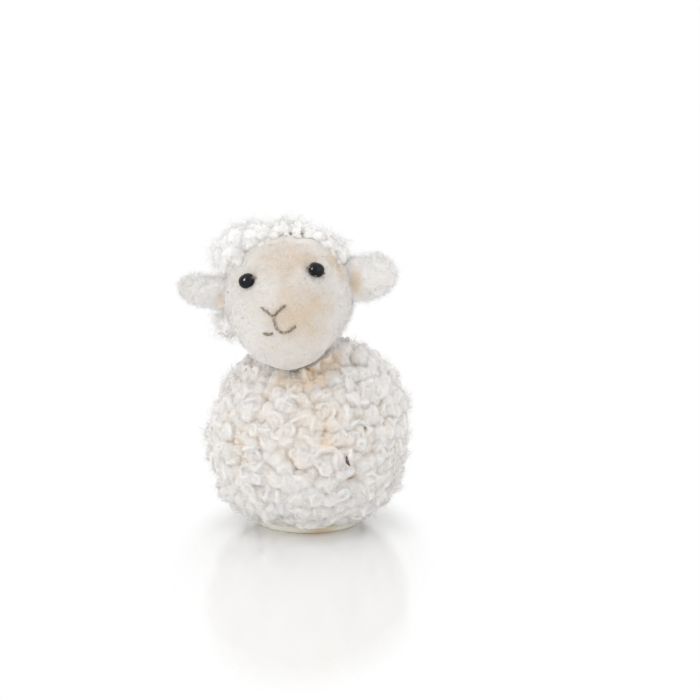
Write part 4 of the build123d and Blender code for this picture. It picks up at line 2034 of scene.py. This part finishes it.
@dataclass(frozen=True)
class Softbox:
    """A square lamp: its place in millimetres, its side in metres and its power in watts."""

    name: str
    place: Spot
    side: float
    power: float
    colour: Colour = (1.0, 1.0, 1.0)
    lights_wool: bool = True

    def hang(self, target: Vector) -> None:
        """Hang the lamp so that it faces a target, in millimetres."""
        data = bpy.data.lights.new(self.name, "AREA")
        data.size, data.energy, data.color = self.side, self.power, self.colour
        lamp = bpy.data.objects.new(self.name, data)
        lamp.location = Vector(self.place) * MM
        lamp.rotation_euler = (target * MM - lamp.location).to_track_quat("-Z", "Y").to_euler()
        lamp.visible_diffuse = self.lights_wool
        bpy.context.collection.objects.link(lamp)


@dataclass
class Studio:
    """White table, soft light and a camera at the photograph's angle."""

    target: Spot = (10.7, 0.0, 45.0)
    distance: float = 497.0
    elevation: float = 9.0
    lens: float = 100.0
    sensor: float = 36.0
    ambient: float = 0.73
    table_radius: float = 1600.0
    table_white: float = 0.88
    table_gloss: float = 2.45
    bright_middle: Spot = (0.0, -40.0, 0.0)
    bright_squeeze: Spot = (4.5, 1.55, 1.0)
    bright_from: float = 112.0
    bright_past: float = 152.0
    lit_height: float = 38.0
    lamps: tuple[Softbox, ...] = (
        Softbox("key_softbox", (-420, -430, 520), 0.55, 1.5, (1.0, 0.995, 0.985)),
        Softbox("fill_softbox", (520, -360, 300), 0.7, 1.2, (0.985, 0.99, 1.0)),
        Softbox("top_softbox", (0, 120, 800), 0.9, 1.35),
        Softbox("right_rim_softbox", (-520, 340, 260), 0.6, 0.25),
        Softbox("left_rim_softbox", (520, 340, 260), 0.6, 0.3),
        Softbox("catch_light", (-480, -380, 200), 0.2, 5.0, lights_wool=False),
    )

    def build(self) -> None:
        """Make the whole setting."""
        self.floor()
        self.world()
        for lamp in self.lamps:
            lamp.hang(Vector((0, 0, self.lit_height)))
        self.camera()
        bpy.context.scene.view_settings.view_transform = "Standard"

    def floor(self) -> None:
        """A glossy white table top, plain white where it is far from the lamb."""
        bm = bmesh.new()
        bmesh.ops.create_circle(bm, cap_ends=True, segments=96, radius=self.table_radius)
        bench = SurfaceBench("white_table_top")
        place = bench.place()
        polish = bench.ramp(bench.noise(place, 6.0, 2.0), 0.3, 0.7, 0.12, 0.15)
        paint = (self.table_white, self.table_white, self.table_white, 1.0)
        material = bench.dress({"Roughness": polish, "Base Color": paint, "IOR": self.table_gloss})
        inputs = {0: place, 1: metres(self.bright_middle)}
        aside = bench.add("ShaderNodeVectorMath", inputs, operation="SUBTRACT").outputs["Vector"]
        inputs = {0: aside, 1: self.bright_squeeze}
        squeezed = bench.add("ShaderNodeVectorMath", inputs, operation="MULTIPLY").outputs["Vector"]
        away = bench.add("ShaderNodeVectorMath", {0: squeezed}, operation="LENGTH").outputs["Value"]
        far = bench.ramp(away, self.bright_from * MM, self.bright_past * MM)
        white = bench.add("ShaderNodeEmission", {"Color": (1, 1, 1, 1), "Strength": 1.0}).outputs[0]
        inputs = {0: bench.math("MULTIPLY", bench.seen(), far), 1: bench.shader.outputs[0], 2: white}
        both = bench.add("ShaderNodeMixShader", inputs).outputs[0]
        bench.feed(bench.tree.nodes["Material Output"], {"Surface": both})
        table = finish_mesh("table_top", bm, material)

    def world(self) -> None:
        """Even light all round, and plain white where the camera looks past the table."""
        world = bpy.data.worlds.new("white_room")
        bpy.context.scene.world = world
        world.use_nodes = True
        bench = NodeBench(world.node_tree)
        level = bench.ramp(bench.seen(), 0.0, 1.0, self.ambient, 1.0)
        bench.feed(bench.tree.nodes["Background"], {"Strength": level, "Color": (1, 1, 1, 1)})

    def camera(self) -> None:
        """The camera, level with the lamb's body and tipped a little down."""
        data = bpy.data.cameras.new("photo_camera")
        data.lens, data.sensor_width = self.lens, self.sensor
        camera = bpy.data.objects.new("photo_camera", data)
        tip = math.radians(self.elevation)
        back = Vector((0, -math.cos(tip), math.sin(tip)))
        camera.location = (Vector(self.target) + back * self.distance) * MM
        camera.rotation_euler = (math.radians(90 - self.elevation), 0, 0)
        bpy.context.collection.objects.link(camera)
        bpy.context.scene.camera = camera


def main() -> None:
    """Build the lamb piece by piece."""
    logging.basicConfig(level=logging.INFO, format="%(name)s: %(message)s")
    finishes, form = Finishes(), HeadForm()
    body = Body(finishes, form)
    head = Head(finishes, form, body)
    ears = (
        Ear(finishes, form, Side.RIGHT, 28.0, 12.1, 4.2, root_half_width=3.7, belly=0.3, sway=-1.4),
        Ear(finishes, form, Side.LEFT, -8.0, 11.4, 5.5, 5.0, belly=0.4, sway=-0.5, root_shift=-1.7),
    )
    eyes = [Eye(finishes, form, *eye) for eye in zip(Side, head.eye_places, (24.0, -32.0))]
    for part in (body, head, *ears, *eyes, Stitching(finishes, form), Flecks(finishes, body), Studio()):
        part.build()


if __name__ == "__main__":
    main()
